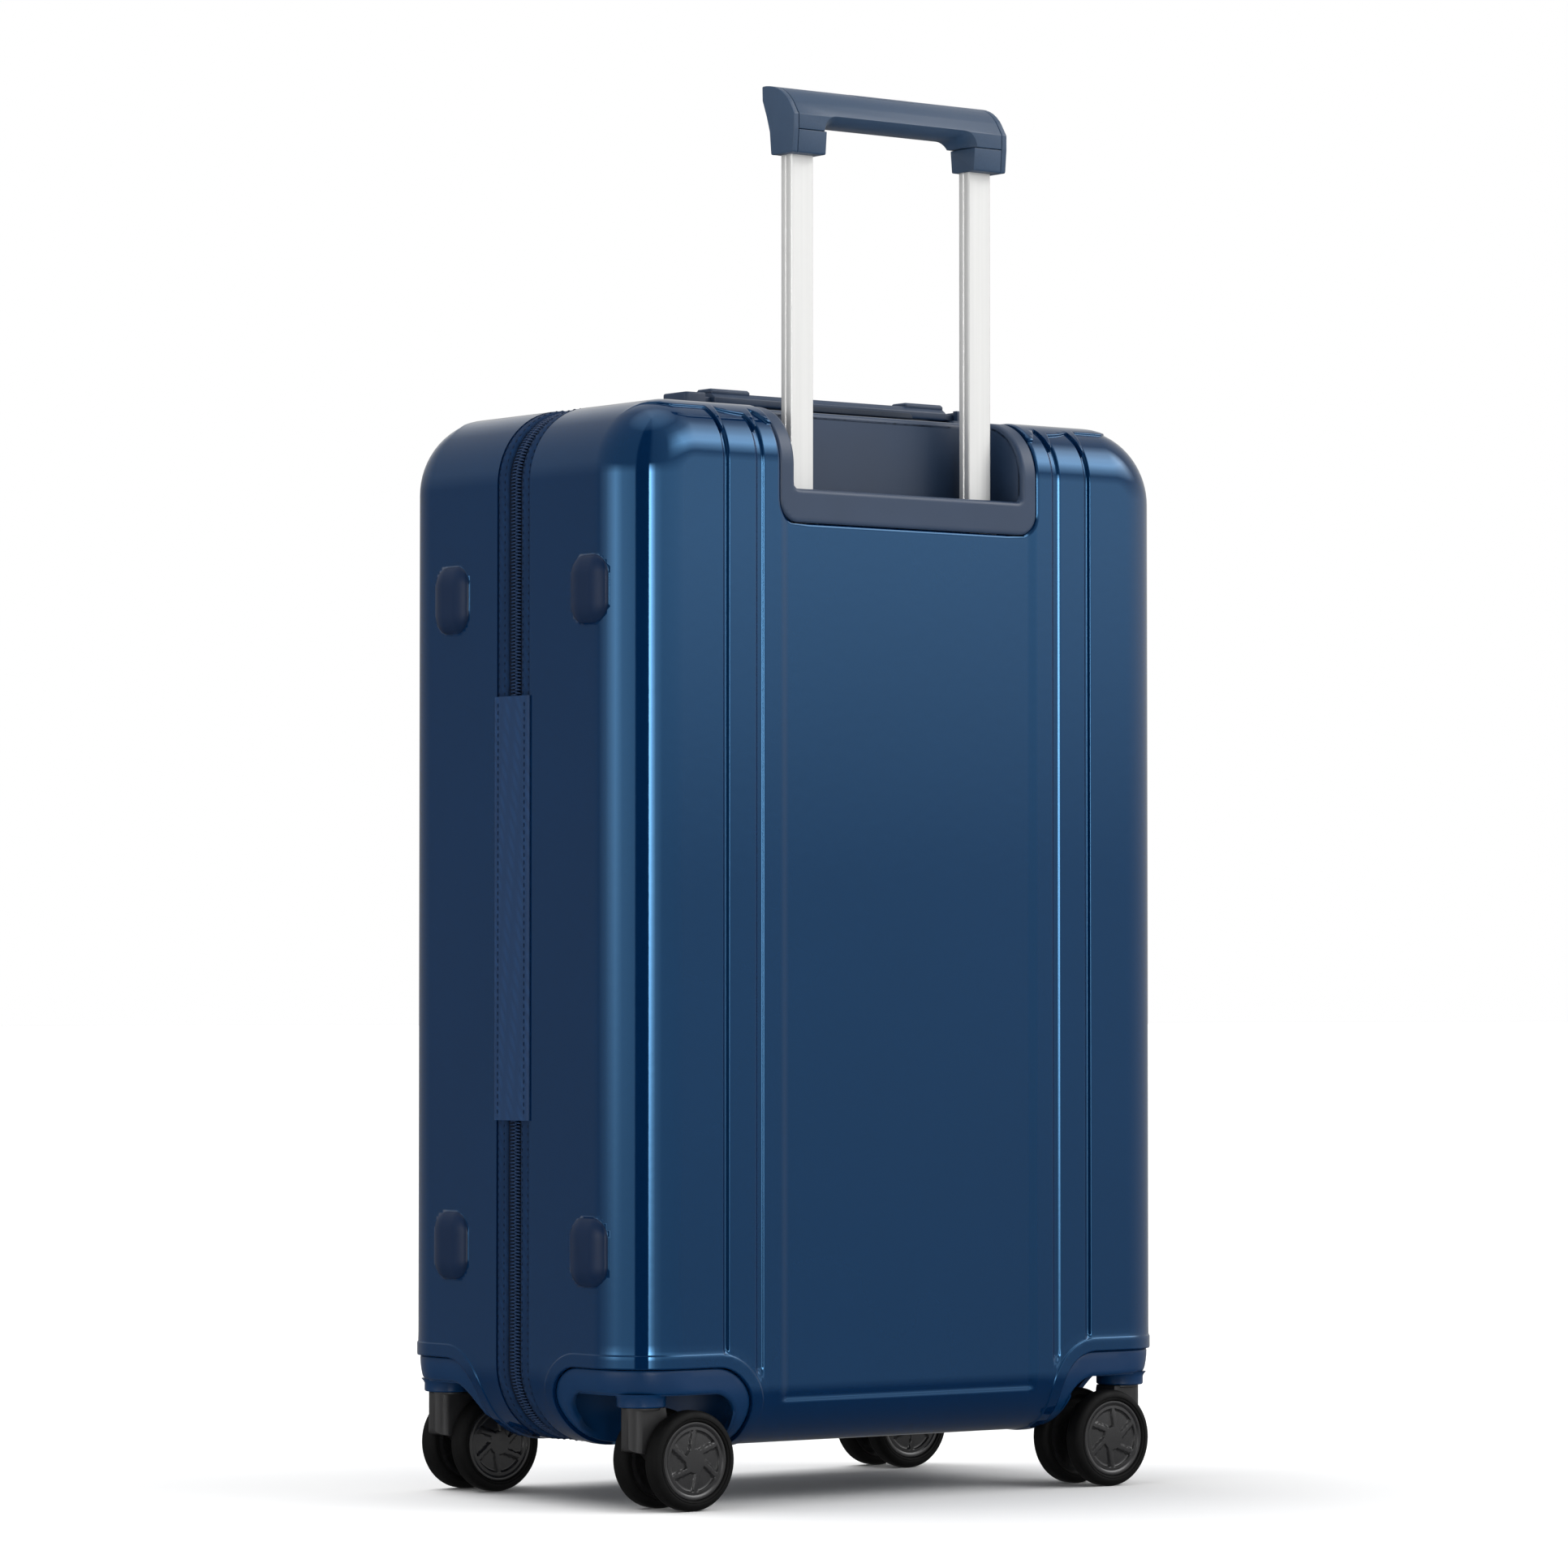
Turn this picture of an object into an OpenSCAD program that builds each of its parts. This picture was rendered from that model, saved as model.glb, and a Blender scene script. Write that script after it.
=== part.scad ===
// Hard shell suitcase on four twin-wheel casters, with a telescopic trolley handle.
// +Z is up and the wheels stand on z = 0. The trolley handle is on the +Y face and the
// hinge is on the +X side. The zip lies in the plane y = zip_y.

/* [Case] */
// Width of the case across its sides
case_w = 425; // [415:1:435]
// Depth of the case from front panel to rear panel
case_d = 247; // [243:1:251]
// Height of the case's underside above the floor
case_bottom = 36; // [35:0.5:38]
// Height of the case's top above the floor
case_top = 665; // [655:1:690]
// Wall of the moulded shells
wall = 2.5; // [2:0.1:3]
// Radius of the case's outline seen from the front
outline_r = 48; // [42:1:52]
// Radius of the long edges between the panels and the sides
edge_r = 38; // [32:1:40]
// Depth of the moulded grooves
groove_depth = 1.3; // [0.8:0.1:1.5]

/* [Zip] */
// Where the zip plane stands along the depth
zip_y = 2.5; // [0:0.5:5]
// Width of the zip band on each side of the zip plane
band_w = 17; // [16:0.5:18]

/* [Trolley handle] */
// Distance of each tube from the middle of the case
tube_x = 70.2; // [66:0.2:72]
// Where the tubes stand along the depth
tube_y = 100; // [99:0.5:101]
// Height of the grip's highest edge with the first stage out
grip_top = 861.4; // [855:0.2:865]
// Half the width of the grip
grip_half = 84.2; // [82:0.2:86]

/* [Casters] */
// Radius of each wheel
wheel_r = 30; // [28:0.5:31]
// Thickness of each wheel's tyre
tyre_w = 13; // [11:0.5:13]
// Distance of each wheel's middle from the swivel axis, along the axle
twin = 16; // [16:0.5:17]
// Distance from the swivel axis back to the axle
trail = 24; // [22:0.5:24]
// Distance of each swivel axis from the middle of the width
swivel_x = 188; // [186:0.5:190]
// Distance of each swivel axis from the middle of the depth
swivel_y = 100; // [99:0.5:101]

/* [Hidden] */
$fn = 64;
half_w = case_w / 2;
half_d = case_d / 2;
far = 200;
fit = 0.2;
mid_z = (case_bottom + case_top) / 2;

// raised feet on the hinge side, as [y, z]
feet = [for (y = [80, -61.5], z = [153.7, 549.2]) [y, z]];
foot_size = [34, 41];
foot_height = 4.3;

// hinge strip
hinge_low = 231;
hinge_high = 488;
hinge_half = 18;
hinge_t = 1.6;

// panels and grooves of the large faces
groove_x = [116.6, 142.2];
groove_w = 5;
panel_half = 98.4;
groove_low = 84;

// lining trays
lining_gap = 16;
lining_t = 1.5;
lining_back_rear = 74;
lining_back_front = -111.5;
lining_open = 4;
notch_x = 118;
notch_z = 90;

// crossed packing straps and the buckle where they meet
strap_y = zip_y + 8;
strap_w = 25;
strap_t = 1.5;
strap_angle = 38;
buckle_half = [32, 25];
buckle_t = 7.5;

// handle housing
bezel_half = 101;
bezel_low = 592.2;
recess_half = 89.5;
recess_floor = 613;
recess_front = 78.5;
floor_t = 4;
skin_t = 3.5;

// telescopic tubes, as [width, depth]
outer_size = [22.5, 15.5];
middle_size = [20, 13];
inner_size = [17.5, 10.5];
inner_bore = [14, 7];
slide_gap = 0.15;
foot_low = 104;
foot_top = 124;
foot_half = 88;
foot_slot_half = 50;
foot_floor = 5;
outer_low = 112;
middle_low = 150;
inner_low = 360;
inner_top = 841;
rod_r = 1.5;
flute_depth = 0.7;
flute_w = 1.2;

// grip and collars, with their sections across the length as [y, z]
collar_low = 818.5;
collar_top = 833;
collar_inner = 54;
grip_under = 838;
arch_half = 52;
button_half = 22;
button_gap = 0.4;
button_low = grip_top - 6.4;
button_front = tube_y - 15.5;
button_rear = tube_y - 1;
bar_low = grip_top - 14.4;
bar_high = grip_top - 11.4;
grip_section = [
    [tube_y - 16.9, grip_top], [tube_y - 16.6, grip_top - 8.8], [tube_y - 12.5, grip_top - 19.1],
    [tube_y - 9.5, collar_top], [tube_y + 14.7, collar_top], [tube_y + 14.7, grip_top - 19.4],
    [tube_y + 9.1, grip_top - 10.6], [tube_y + 1.9, grip_top - 4.4], [tube_y - 5.7, grip_top - 1.1],
];
collar_section = [
    [tube_y - 6.5, collar_low], [tube_y + 6.6, collar_low], [tube_y + 14.7, collar_low + 10],
    [tube_y + 14.7, collar_top], [tube_y - 9.5, collar_top], [tube_y - 8.4, collar_low + 10],
];

// casters
housing_x = 91;
housing_y = 84;
housing_top = 84.6;
housing_inset = 2;
well_r = 58;
well_top = 69;
boss_r = 14.7;
boss_low = 62;
pin_r = 5;
running = 0.05;
web_half = 9;
hub_r = 23.5;
hub_w = 11;
tyre_round = 3;
axle_r = 3;
axle_half = 21.4;

// side view of the fork, with the swivel axis at 0 and the axle behind it
fork_top = boss_low - 0.3;
fork_section = [
    [12.6, fork_top], [12.6, 40], [9, 36], [2, 35], [-trail, wheel_r - 9],
    [-trail - 9, wheel_r], [-trail - 3, wheel_r + 18], [-11.7, fork_top],
];

// carry handles: their end blocks, and the slots that guide the handle's tongues
mount_in = 95;
mount_out = 115;
mount_half = 12.5;
mount_depth = 12;
mount_height = 11;
slot_at = [mount_in + 4, mount_in + 12];
slot_half = 8;
tongue_gap = 0.3;
bar_half = mount_in - 3;
top_handle_at = [0, 34.5, case_top];
side_handle_sink = 3;
side_handle_at = [-half_w + side_handle_sink, 53, mid_z];

// zip: insets of the coil and tape from the outline, and distances from the zip plane
coil_out = 1.6;
coil_in = 4.6;
coil_from = 0.8;
tape_from = 4.4;
binding_from = 7;
binding_out = 0.4;

// zip sliders, as their heights on the lock side, and their pulls
slider_z = [405, 330];
slider_half = [5.5, 7];
pull_x = -half_w - 2.4;
pull_pin_r = 1;
pull_low = 36;

// lock: its cut-out in the shell, its face plate, its dials and its button
lock_at = [-38, 365];
lock_half = [11, 42];
lock_depth = 11.5;
plate_half = [14, 45];
plate_t = 3.6;
dial_z = [351, 361, 371];
dial_x = -half_w + 2.7;
dial_r = 7.5;
dial_w = 5;
dial_pin_r = 1.5;
lock_button_z = 392;
lock_button_half = [4, 6.5];

CORNERS = [
    ["rear_hinge", 1, 1],
    ["rear_lock", -1, 1],
    ["front_hinge", 1, -1],
    ["front_lock", -1, -1],
];
CASTER_PARTS = ["wheel_housing", "fork", "axle", "hub_outer", "hub_inner", "tyre_outer", "tyre_inner"];

// ---- shared shapes ----

// Rectangle with four equal round corners
module rounded_rect(low, high, r) {
    size = high - low;
    for (x = [low.x + r, high.x - r], y = [low.y + r, high.y - r])
        translate([x, y]) circle(r);
    translate([low.x + r, low.y]) square([size.x - 2 * r, size.y]);
    translate([low.x, low.y + r]) square([size.x, size.y - 2 * r]);
}

// Extrudes an outline drawn in X and Z from y0 to y1
module along_y(y0, y1) {
    translate([0, y1, 0]) rotate([90, 0, 0]) linear_extrude(y1 - y0) children();
}

// Extrudes an outline drawn in Y and Z from x0 to x1
module along_x(x0, x1) {
    translate([x0, 0, 0]) rotate([90, 0, 90]) linear_extrude(x1 - x0) children();
}

// Extrudes an outline drawn in X and Y from z0 to z1
module along_z(z0, z1) {
    translate([0, 0, z0]) linear_extrude(z1 - z0) children();
}

module box(low, high) {
    translate(low) cube(high - low);
}

// Both mirror images across the middle of the width
module both_sides() {
    children();
    mirror([1, 0, 0]) children();
}

// Mirrors the rear hinge-side corner to another corner
module at_corner(sx, sy) {
    if (sx > 0 && sy > 0) children();
    if (sx < 0 && sy > 0) mirror([1, 0, 0]) children();
    if (sx > 0 && sy < 0) mirror([0, 1, 0]) children();
    if (sx < 0 && sy < 0) rotate([0, 0, 180]) children();
}

// The case's outline seen from the front, drawn in by inset all round
module case_outline(inset) {
    low = [-half_w + inset, case_bottom + inset];
    high = [half_w - inset, case_top - inset];
    rounded_rect(low, high, outline_r - inset);
}

// The whole closed case as one solid, drawn in by inset all round
module case_form(inset) {
    r = edge_r - inset;
    intersection() {
        along_y(-half_d + inset, half_d - inset) case_outline(inset);
        along_z(0, far + case_top)
            rounded_rect([-half_w + inset, -half_d + inset], [half_w - inset, half_d - inset], r);
        along_x(-far * 2, far * 2)
            rounded_rect([-half_d + inset, case_bottom + inset], [half_d - inset, case_top - inset], r);
    }
}

// The half space behind the zip plane (s = 1) or before it (s = -1), from a distance on
module half_space(s, from) {
    if (s > 0) box([-far * 2, zip_y + from, 0], [far * 2, far, case_top + far]);
    if (s < 0) box([-far * 2, -far, 0], [far * 2, zip_y - from, case_top + far]);
}

// ---- shells, zip and hinge ----

// Grooves and the lowered centre panel of one large face
module face_grooves(low, high) {
    for (x = groove_x)
        both_sides() box([x - groove_w / 2, half_d - groove_depth, low], [x + groove_w / 2, far, high]);
    box([-panel_half, half_d - groove_depth, low], [panel_half, far, high]);
}

module foot(y, z) {
    half = foot_size / 2;
    along_x(half_w - 1, half_w + foot_height)
        rounded_rect([y - half.x, z - half.y], [y + half.x, z + half.y], 10);
}

module shell_half(s) {
    difference() {
        intersection() {
            case_form(0);
            half_space(s, band_w);
        }
        case_form(wall);
        if (s > 0) face_grooves(groove_low, bezel_low - 20);
        if (s < 0) mirror([0, 1, 0]) face_grooves(groove_low, case_top - edge_r);
        for (sx = [-1, 1]) at_corner(sx, s) housing_block(-fit, fit);
    }
}

module rear_shell() {
    color("#2B5078") {
        difference() {
            shell_half(1);
            along_y(recess_front - wall - fit, far) bezel_outline(fit);
            translate(top_handle_at) mount_blocks(0.1);
            at_side() mount_blocks(0.1);
        }
        for (f = feet)
            if (f.x > 0) foot(f.x, f.y);
    }
}

module front_shell() {
    color("#2B5078") {
        difference() {
            shell_half(-1);
            lock_cutout(0.1);
        }
        for (f = feet)
            if (f.x < 0) foot(f.x, f.y);
    }
}

// A ring that follows the case's outline, between two insets and two distances from the zip plane
module zip_ring(s, from, to, out, in) {
    y = s > 0 ? zip_y + from : zip_y - to;
    along_y(y, y + to - from) difference() {
        case_outline(out);
        case_outline(in);
    }
}

// Edge binding, tape and coil of one half; the coil ends under the hinge strip
module zip_tape(s) {
    clear = tape_from + fit;
    color("#16243F") {
        zip_ring(s, binding_from, band_w, binding_out, coil_in);
        difference() {
            union() {
                zip_ring(s, tape_from, binding_from + fit, coil_in - 1, coil_in);
                zip_ring(s, coil_from, clear, coil_out, coil_in);
            }
            box([0, zip_y - clear, hinge_low + 6], [far * 2, zip_y + clear, hinge_high - 6]);
        }
    }
}

module hinge_leaf(s) {
    gap = 0.3;
    y = s > 0 ? zip_y + gap : zip_y - hinge_half;
    x = half_w + 0.1;
    color("#2A4468") box([x, y, hinge_low], [x + hinge_t, y + hinge_half - gap, hinge_high]);
}

// ---- inside ----

module lining_outline(inset) {
    gap = lining_gap + inset;
    difference() {
        rounded_rect([-half_w + gap, case_bottom + gap], [half_w - gap, case_top - gap], outline_r - gap);
        both_sides() translate([notch_x - inset, 0]) square([far, notch_z + inset]);
    }
}

module lining(y_open, y_back) {
    low = min(y_open, y_back);
    high = max(y_open, y_back);
    back = y_back > y_open ? y_back - lining_t : y_back;
    color("#3A4A63") {
        along_y(low, high) difference() {
            lining_outline(0);
            lining_outline(lining_t);
        }
        along_y(back, back + lining_t) lining_outline(0);
    }
}

module packing_straps() {
    color("#20293A") along_y(strap_y, strap_y + strap_t) difference() {
        intersection() {
            lining_outline(lining_t);
            translate([0, mid_z])
                for (a = [-strap_angle, strap_angle]) rotate(a) square([far * 3, strap_w], center = true);
        }
        translate([0, mid_z]) square(buckle_half * 2, center = true);
    }
}

module strap_buckle() {
    at = [0, mid_z];
    low = strap_y - (buckle_t - strap_t) / 2;
    color("#15171C") along_y(low, low + buckle_t)
        rounded_rect(at - buckle_half, at + buckle_half, 8);
}

// ---- trolley handle ----

// The housing's outline on the rear face, round at its lower corners and open to the top
module bezel_outline(grow) {
    r = 14;
    half = bezel_half + grow;
    low = bezel_low - grow;
    for (x = [-half + r, half - r]) translate([x, low + r]) circle(r);
    translate([-half + r, low]) square([2 * (half - r), r * 2]);
    translate([-half, low + r]) square([half * 2, case_top + 20 - low - r]);
}

module recess_plan() {
    r = 15;
    for (x = [-recess_half + r, recess_half - r]) translate([x, recess_front + r]) circle(r);
    translate([-recess_half + r, recess_front]) square([2 * (recess_half - r), far]);
    translate([-recess_half, recess_front + r]) square([recess_half * 2, far]);
}

module handle_housing() {
    color("#46587A") difference() {
        union() {
            intersection() {
                difference() {
                    case_form(0);
                    case_form(skin_t);
                }
                along_y(recess_front - wall, far) bezel_outline(0);
            }
            intersection() {
                case_form(0);
                box([-recess_half - wall, recess_front - wall, recess_floor - floor_t],
                    [recess_half + wall, half_d - 1, case_top]);
            }
        }
        along_z(recess_floor, case_top + 20) recess_plan();
        for (x = [-tube_x, tube_x]) tube_prism(x, middle_size, 0.3, recess_floor - 10, recess_floor + 10);
    }
}

// A tube's outer prism, grown by a gap all round
module tube_prism(x, size, gap, low, high) {
    half = size / 2 + [gap, gap];
    box([x - half.x, tube_y - half.y, low], [x + half.x, tube_y + half.y, high]);
}

// A pair of tubes, each with a bore that clears the tube inside it
module tube_pair(size, hole, gap, low, high) {
    for (x = [-tube_x, tube_x]) difference() {
        tube_prism(x, size, 0, low, high);
        tube_prism(x, hole, gap, low - 1, high + 1);
    }
}

module outer_tubes() {
    color("#B9BCBE")
        tube_pair(outer_size, middle_size, slide_gap, outer_low, recess_floor - floor_t);
}

module middle_tubes() {
    color("#D2D4D4")
        tube_pair(middle_size, inner_size, slide_gap, middle_low, recess_floor - 0.5);
}

// The inner tubes carry two shallow flutes on each narrow side
module inner_tubes() {
    flute_size = [flute_depth * 2, flute_w, inner_top - inner_low + 2];
    color("#E8E8E6") difference() {
        tube_pair(inner_size, inner_bore, 0, inner_low, inner_top);
        for (x = [-tube_x, tube_x], side = [-1, 1], dy = [-2, 1.6])
            translate([x + side * inner_size.x / 2, tube_y + dy, (inner_low + inner_top) / 2])
                cube(flute_size, center = true);
    }
}

module tube_foot() {
    color("#23262B") difference() {
        box([-foot_half, tube_y - 12, foot_low], [foot_half, half_d - wall, foot_top]);
        for (x = [-tube_x, tube_x]) tube_prism(x, outer_size, 0, outer_low, far);
        box([-foot_slot_half, 0, foot_low + foot_floor], [foot_slot_half, half_d - wall - 4, far]);
    }
}

module grip_body() {
    color("#4F6E96") difference() {
        along_x(-grip_half, grip_half) polygon(grip_section);
        // arch for the fingers
        along_y(0, far) rounded_rect([-arch_half, grip_under - 60], [arch_half, grip_under], 8);
        // button pocket, cross bar chamber and tube sockets
        box([-button_half - button_gap, button_front - button_gap, bar_high],
            [button_half + button_gap, button_rear + button_gap, grip_top + 10]);
        box([-tube_x - 4, tube_y - 5, bar_low - 5], [tube_x + 4, tube_y + 5, bar_high + 0.6]);
        for (x = [-tube_x, tube_x]) {
            tube_prism(x, inner_size, 0, collar_top - 1, inner_top);
            translate([x, tube_y, inner_top - 1]) cylinder(r = rod_r + 0.7, h = 10);
        }
    }
}

module grip_collars() {
    color("#476589") for (s = [0, 1]) mirror([s, 0, 0]) difference() {
        along_x(collar_inner, grip_half) polygon(collar_section);
        tube_prism(tube_x, inner_size, 0, collar_low - 1, collar_top + 1);
    }
}

module grip_button() {
    color("#3F5A80") {
        intersection() {
            along_x(-button_half, button_half) polygon(grip_section);
            box([-far, button_front, button_low], [far, button_rear, grip_top]);
        }
        box([-4, tube_y - 4.5, bar_high], [4, button_rear, button_low + 1]);
    }
}

module release_rods() {
    color("#9A9C9E") {
        box([-tube_x - 2, tube_y - 3, bar_low], [tube_x + 2, tube_y + 3, bar_high]);
        for (x = [-tube_x, tube_x])
            translate([x, tube_y, inner_low + 15]) cylinder(r = rod_r, h = bar_low - inner_low - 14);
    }
}

// ---- carry handles: length along X, raised along +Z from the case's surface ----

// Places a carry handle on the lock side
module at_side() {
    translate(side_handle_at) rotate([0, -90, 0]) children();
}

module mount_blocks(grow) {
    both_sides() box([mount_in - grow, -mount_half - grow, -mount_depth - grow],
                     [mount_out + grow, mount_half + grow, mount_height]);
}

// Two end blocks, each with a slot that guides the handle's tongue
module carry_mounts() {
    color("#3A4D6C") difference() {
        mount_blocks(0);
        both_sides()
            box([slot_at[0], -slot_half, 1 - mount_depth], [slot_at[1], slot_half, mount_height + 1]);
        both_sides()
            box([mount_in - 1, -mount_half - 1, 4.5], [mount_in + 5, mount_half + 1, mount_height + 1]);
    }
}

module carry_bar() {
    half = slot_half - tongue_gap;
    tip = slot_at[1] - tongue_gap;
    color("#42567A") {
        along_x(-bar_half, bar_half)
            polygon([[-11, 4.2], [11, 4.2], [11, 9], [7, 12], [-7, 12], [-11, 9]]);
        both_sides() {
            box([62, -8, 11], [bar_half, 8, 14.5]);
            box([bar_half - 1, -half, 5], [tip, half, 9]);
            box([slot_at[0] + tongue_gap, -half, 2 - mount_depth], [tip, half, 9]);
        }
    }
}

// ---- zip sliders and pulls ----

module zip_slider(z) {
    x = -half_w;
    low = [zip_y, z] - slider_half;
    high = [zip_y, z] + slider_half;
    color("#202B40") difference() {
        union() {
            box([x - 0.5, low.x, low.y], [x + coil_out - fit, high.x, high.y]);
            box([x + coil_in + fit, low.x, low.y], [x + coil_in + 1.6, high.x, high.y]);
            box([x, zip_y - 0.5, z - 6], [x + coil_in + 1, zip_y + 0.5, z + 6]);
            box([x - 4.2, zip_y - 1.5, z - 3.5], [x, zip_y + 1.5, z + 3.5]);
        }
        translate([pull_x, 0, z]) rotate([90, 0, 0])
            cylinder(r = pull_pin_r + 0.08, h = far, center = true);
    }
}

module zip_pull(z) {
    color("#2A3448") {
        for (s = [-1, 1]) translate([pull_x, zip_y + s * 2.7, z]) rotate([90, 0, 0]) {
            cylinder(r = 1.6, h = 1.8, center = true);
            translate([-1.6, -8, -0.9]) cube([3.2, 8, 1.8]);
        }
        translate([pull_x, zip_y, z]) rotate([90, 0, 0]) cylinder(r = pull_pin_r, h = 5, center = true);
        along_x(pull_x - 1.2, pull_x + 1.2)
            rounded_rect([zip_y - 4.5, z - pull_low], [zip_y + 4.5, z - 6], 3);
    }
}

// ---- combination lock ----

module lock_cutout(grow) {
    half = lock_half + [grow, grow];
    along_x(-half_w - 1, -half_w + lock_depth) rounded_rect(lock_at - half, lock_at + half, 3);
}

module lock_body() {
    slot = dial_w / 2 + 0.2;
    color("#8C9096") difference() {
        union() {
            along_x(-half_w, -half_w + lock_depth)
                rounded_rect(lock_at - lock_half, lock_at + lock_half, 3);
            along_x(-half_w - plate_t, -half_w)
                rounded_rect(lock_at - plate_half, lock_at + plate_half, 6);
        }
        for (z = dial_z) difference() {
            translate([dial_x, lock_at.x, z - slot]) cylinder(r = dial_r + 0.4, h = slot * 2);
            translate([dial_x, lock_at.x, z - slot - 1]) cylinder(r = dial_pin_r, h = slot * 2 + 2);
        }
        // the button's recess, with room below the button for its travel
        box([-half_w - 5, lock_at.x - lock_button_half.x - 0.3, lock_button_z - 11],
            [-half_w - 1, lock_at.x + lock_button_half.x + 0.3, lock_button_z + 7]);
    }
}

module lock_dial(z) {
    color("#D8D9DA") translate([dial_x, lock_at.x, z - dial_w / 2]) difference() {
        cylinder(r = dial_r, h = dial_w);
        translate([0, 0, -1]) cylinder(r = dial_pin_r + running, h = dial_w + 2);
        for (a = [18:36:342])
            rotate(a) translate([dial_r + 0.3, 0, -1]) cylinder(r = 0.8, h = dial_w + 2);
    }
}

module lock_button() {
    low = [lock_at.x, lock_button_z] - lock_button_half;
    high = [lock_at.x, lock_button_z] + lock_button_half;
    color("#5A5E64") box([-half_w - 4.6, low.x, low.y], [-half_w - 1.1, high.x, high.y]);
}

// ---- casters, drawn at the rear hinge-side corner ----

// The corner block that a wheel housing fills, with round inner edges
module housing_block(inset, grow) {
    r = 27;
    x = half_w - housing_x - grow;
    y = half_d - housing_y - grow;
    top = housing_top + grow;
    intersection() {
        case_form(inset);
        along_y(y, far) rounded_rect([x, -far], [far * 2, top], r);
        along_x(x, far * 2) rounded_rect([y, -far], [far * 2, top], r);
    }
}

module wheel_housing() {
    color("#1E4273") difference() {
        union() {
            difference() {
                housing_block(housing_inset, 0);
                translate([swivel_x, swivel_y, 0]) cylinder(r = well_r, h = well_top);
                intersection() {
                    translate([swivel_x, swivel_y, well_top - 1]) cylinder(r = well_r - 2, h = 12.5);
                    case_form(housing_inset + 3);
                }
            }
            translate([swivel_x, swivel_y, boss_low])
                cylinder(r = boss_r, h = housing_top - boss_low - housing_inset);
        }
        translate([swivel_x, swivel_y, boss_low - 1]) cylinder(r = pin_r + running, h = 20);
    }
}

module fork() {
    nose = 3.6;
    tail = -60;
    color("#2E2E30") translate([swivel_x, swivel_y, 0]) difference() {
        union() {
            intersection() {
                along_y(-web_half, web_half) {
                    polygon(fork_section);
                    translate([-trail, wheel_r]) circle(9);
                }
                along_z(0, far) {
                    translate([nose, 0]) circle(web_half);
                    translate([tail, -web_half]) square([nose - tail, web_half * 2]);
                }
            }
            translate([0, 0, fork_top - 1.2]) cylinder(r = 11.7, h = 1.2);
            translate([0, 0, fork_top - 1]) cylinder(r = pin_r, h = 19.5);
        }
        translate([-trail, 0, wheel_r]) rotate([90, 0, 0]) cylinder(r = axle_r, h = far, center = true);
    }
}

module axle() {
    color("#8E9094") translate([swivel_x - trail, swivel_y, wheel_r]) rotate([90, 0, 0])
        cylinder(r = axle_r, h = axle_half * 2, center = true);
}

// Places a wheel part whose outer face looks along +Z at the outer (s = 1) or inner (s = -1) wheel
module at_wheel(s) {
    translate([swivel_x - trail, swivel_y + s * twin, wheel_r]) rotate([s * -90, 0, 0]) children();
}

// Hub disc with six swept pockets in its outer face
module hub(s) {
    color("#333335") at_wheel(s) difference() {
        translate([0, 0, -hub_w / 2]) cylinder(r = hub_r, h = hub_w);
        translate([0, 0, -hub_w / 2 - 1]) cylinder(r = axle_r + running, h = hub_w + 2);
        for (a = [0:60:300]) rotate(a) translate([0, 0, hub_w / 2 - 1.5])
            linear_extrude(3) polygon([[7, -1], [18, -4], [17, 6]]);
        translate([0, 0, -hub_w / 2 - 1]) difference() {
            cylinder(r = hub_r - 3, h = 4);
            cylinder(r = 7, h = 5);
        }
    }
}

module tyre(s) {
    half = tyre_w / 2;
    r = tyre_round;
    color("#242426") at_wheel(s) rotate_extrude() {
        translate([hub_r, -half]) square([wheel_r - r - hub_r, tyre_w]);
        translate([wheel_r - r - 1, -half + r]) square([r + 1, tyre_w - 2 * r]);
        for (z = [-half + r, half - r]) translate([wheel_r - r, z]) circle(r);
    }
}

rear_shell();
zip_tape(1);  // rear_zip_tape
lining(zip_y + lining_open, lining_back_rear);  // rear_lining
hinge_leaf(1);  // rear_hinge_leaf
front_shell();
zip_tape(-1);  // front_zip_tape
lining(zip_y - lining_open, lining_back_front);  // front_lining
hinge_leaf(-1);  // front_hinge_leaf
handle_housing();
outer_tubes();
tube_foot();
middle_tubes();
inner_tubes();
grip_body();
grip_collars();
grip_button();
release_rods();
translate(top_handle_at) carry_mounts();  // top_handle_mounts
translate(top_handle_at) carry_bar();  // top_handle
at_side() carry_mounts();  // side_handle_mounts
at_side() carry_bar();  // side_handle
zip_slider(slider_z[0]);  // slider_upper
zip_slider(slider_z[1]);  // slider_lower
zip_pull(slider_z[0]);  // pull_upper
zip_pull(slider_z[1]);  // pull_lower
lock_body();
lock_button();
packing_straps();
strap_buckle();
for (i = [0:2])
    lock_dial(dial_z[i]);
for (c = CORNERS) {
    at_corner(c[1], c[2]) wheel_housing();
    at_corner(c[1], c[2]) fork();
    at_corner(c[1], c[2]) axle();
    at_corner(c[1], c[2]) hub(1);
    at_corner(c[1], c[2]) hub(-1);
    at_corner(c[1], c[2]) tyre(1);
    at_corner(c[1], c[2]) tyre(-1);
}
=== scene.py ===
"""A glossy hard shell suitcase on four twin-wheel casters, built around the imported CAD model.

Shapes are worked out in millimetres, in the CAD frame: +Z up, +Y out of the face with the trolley
handle, +X out of the hinge side. Meshes are scaled to metres when they are made.
"""
import math

import bmesh
import bpy
import numpy as np
from mathutils import Matrix, Vector


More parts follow.
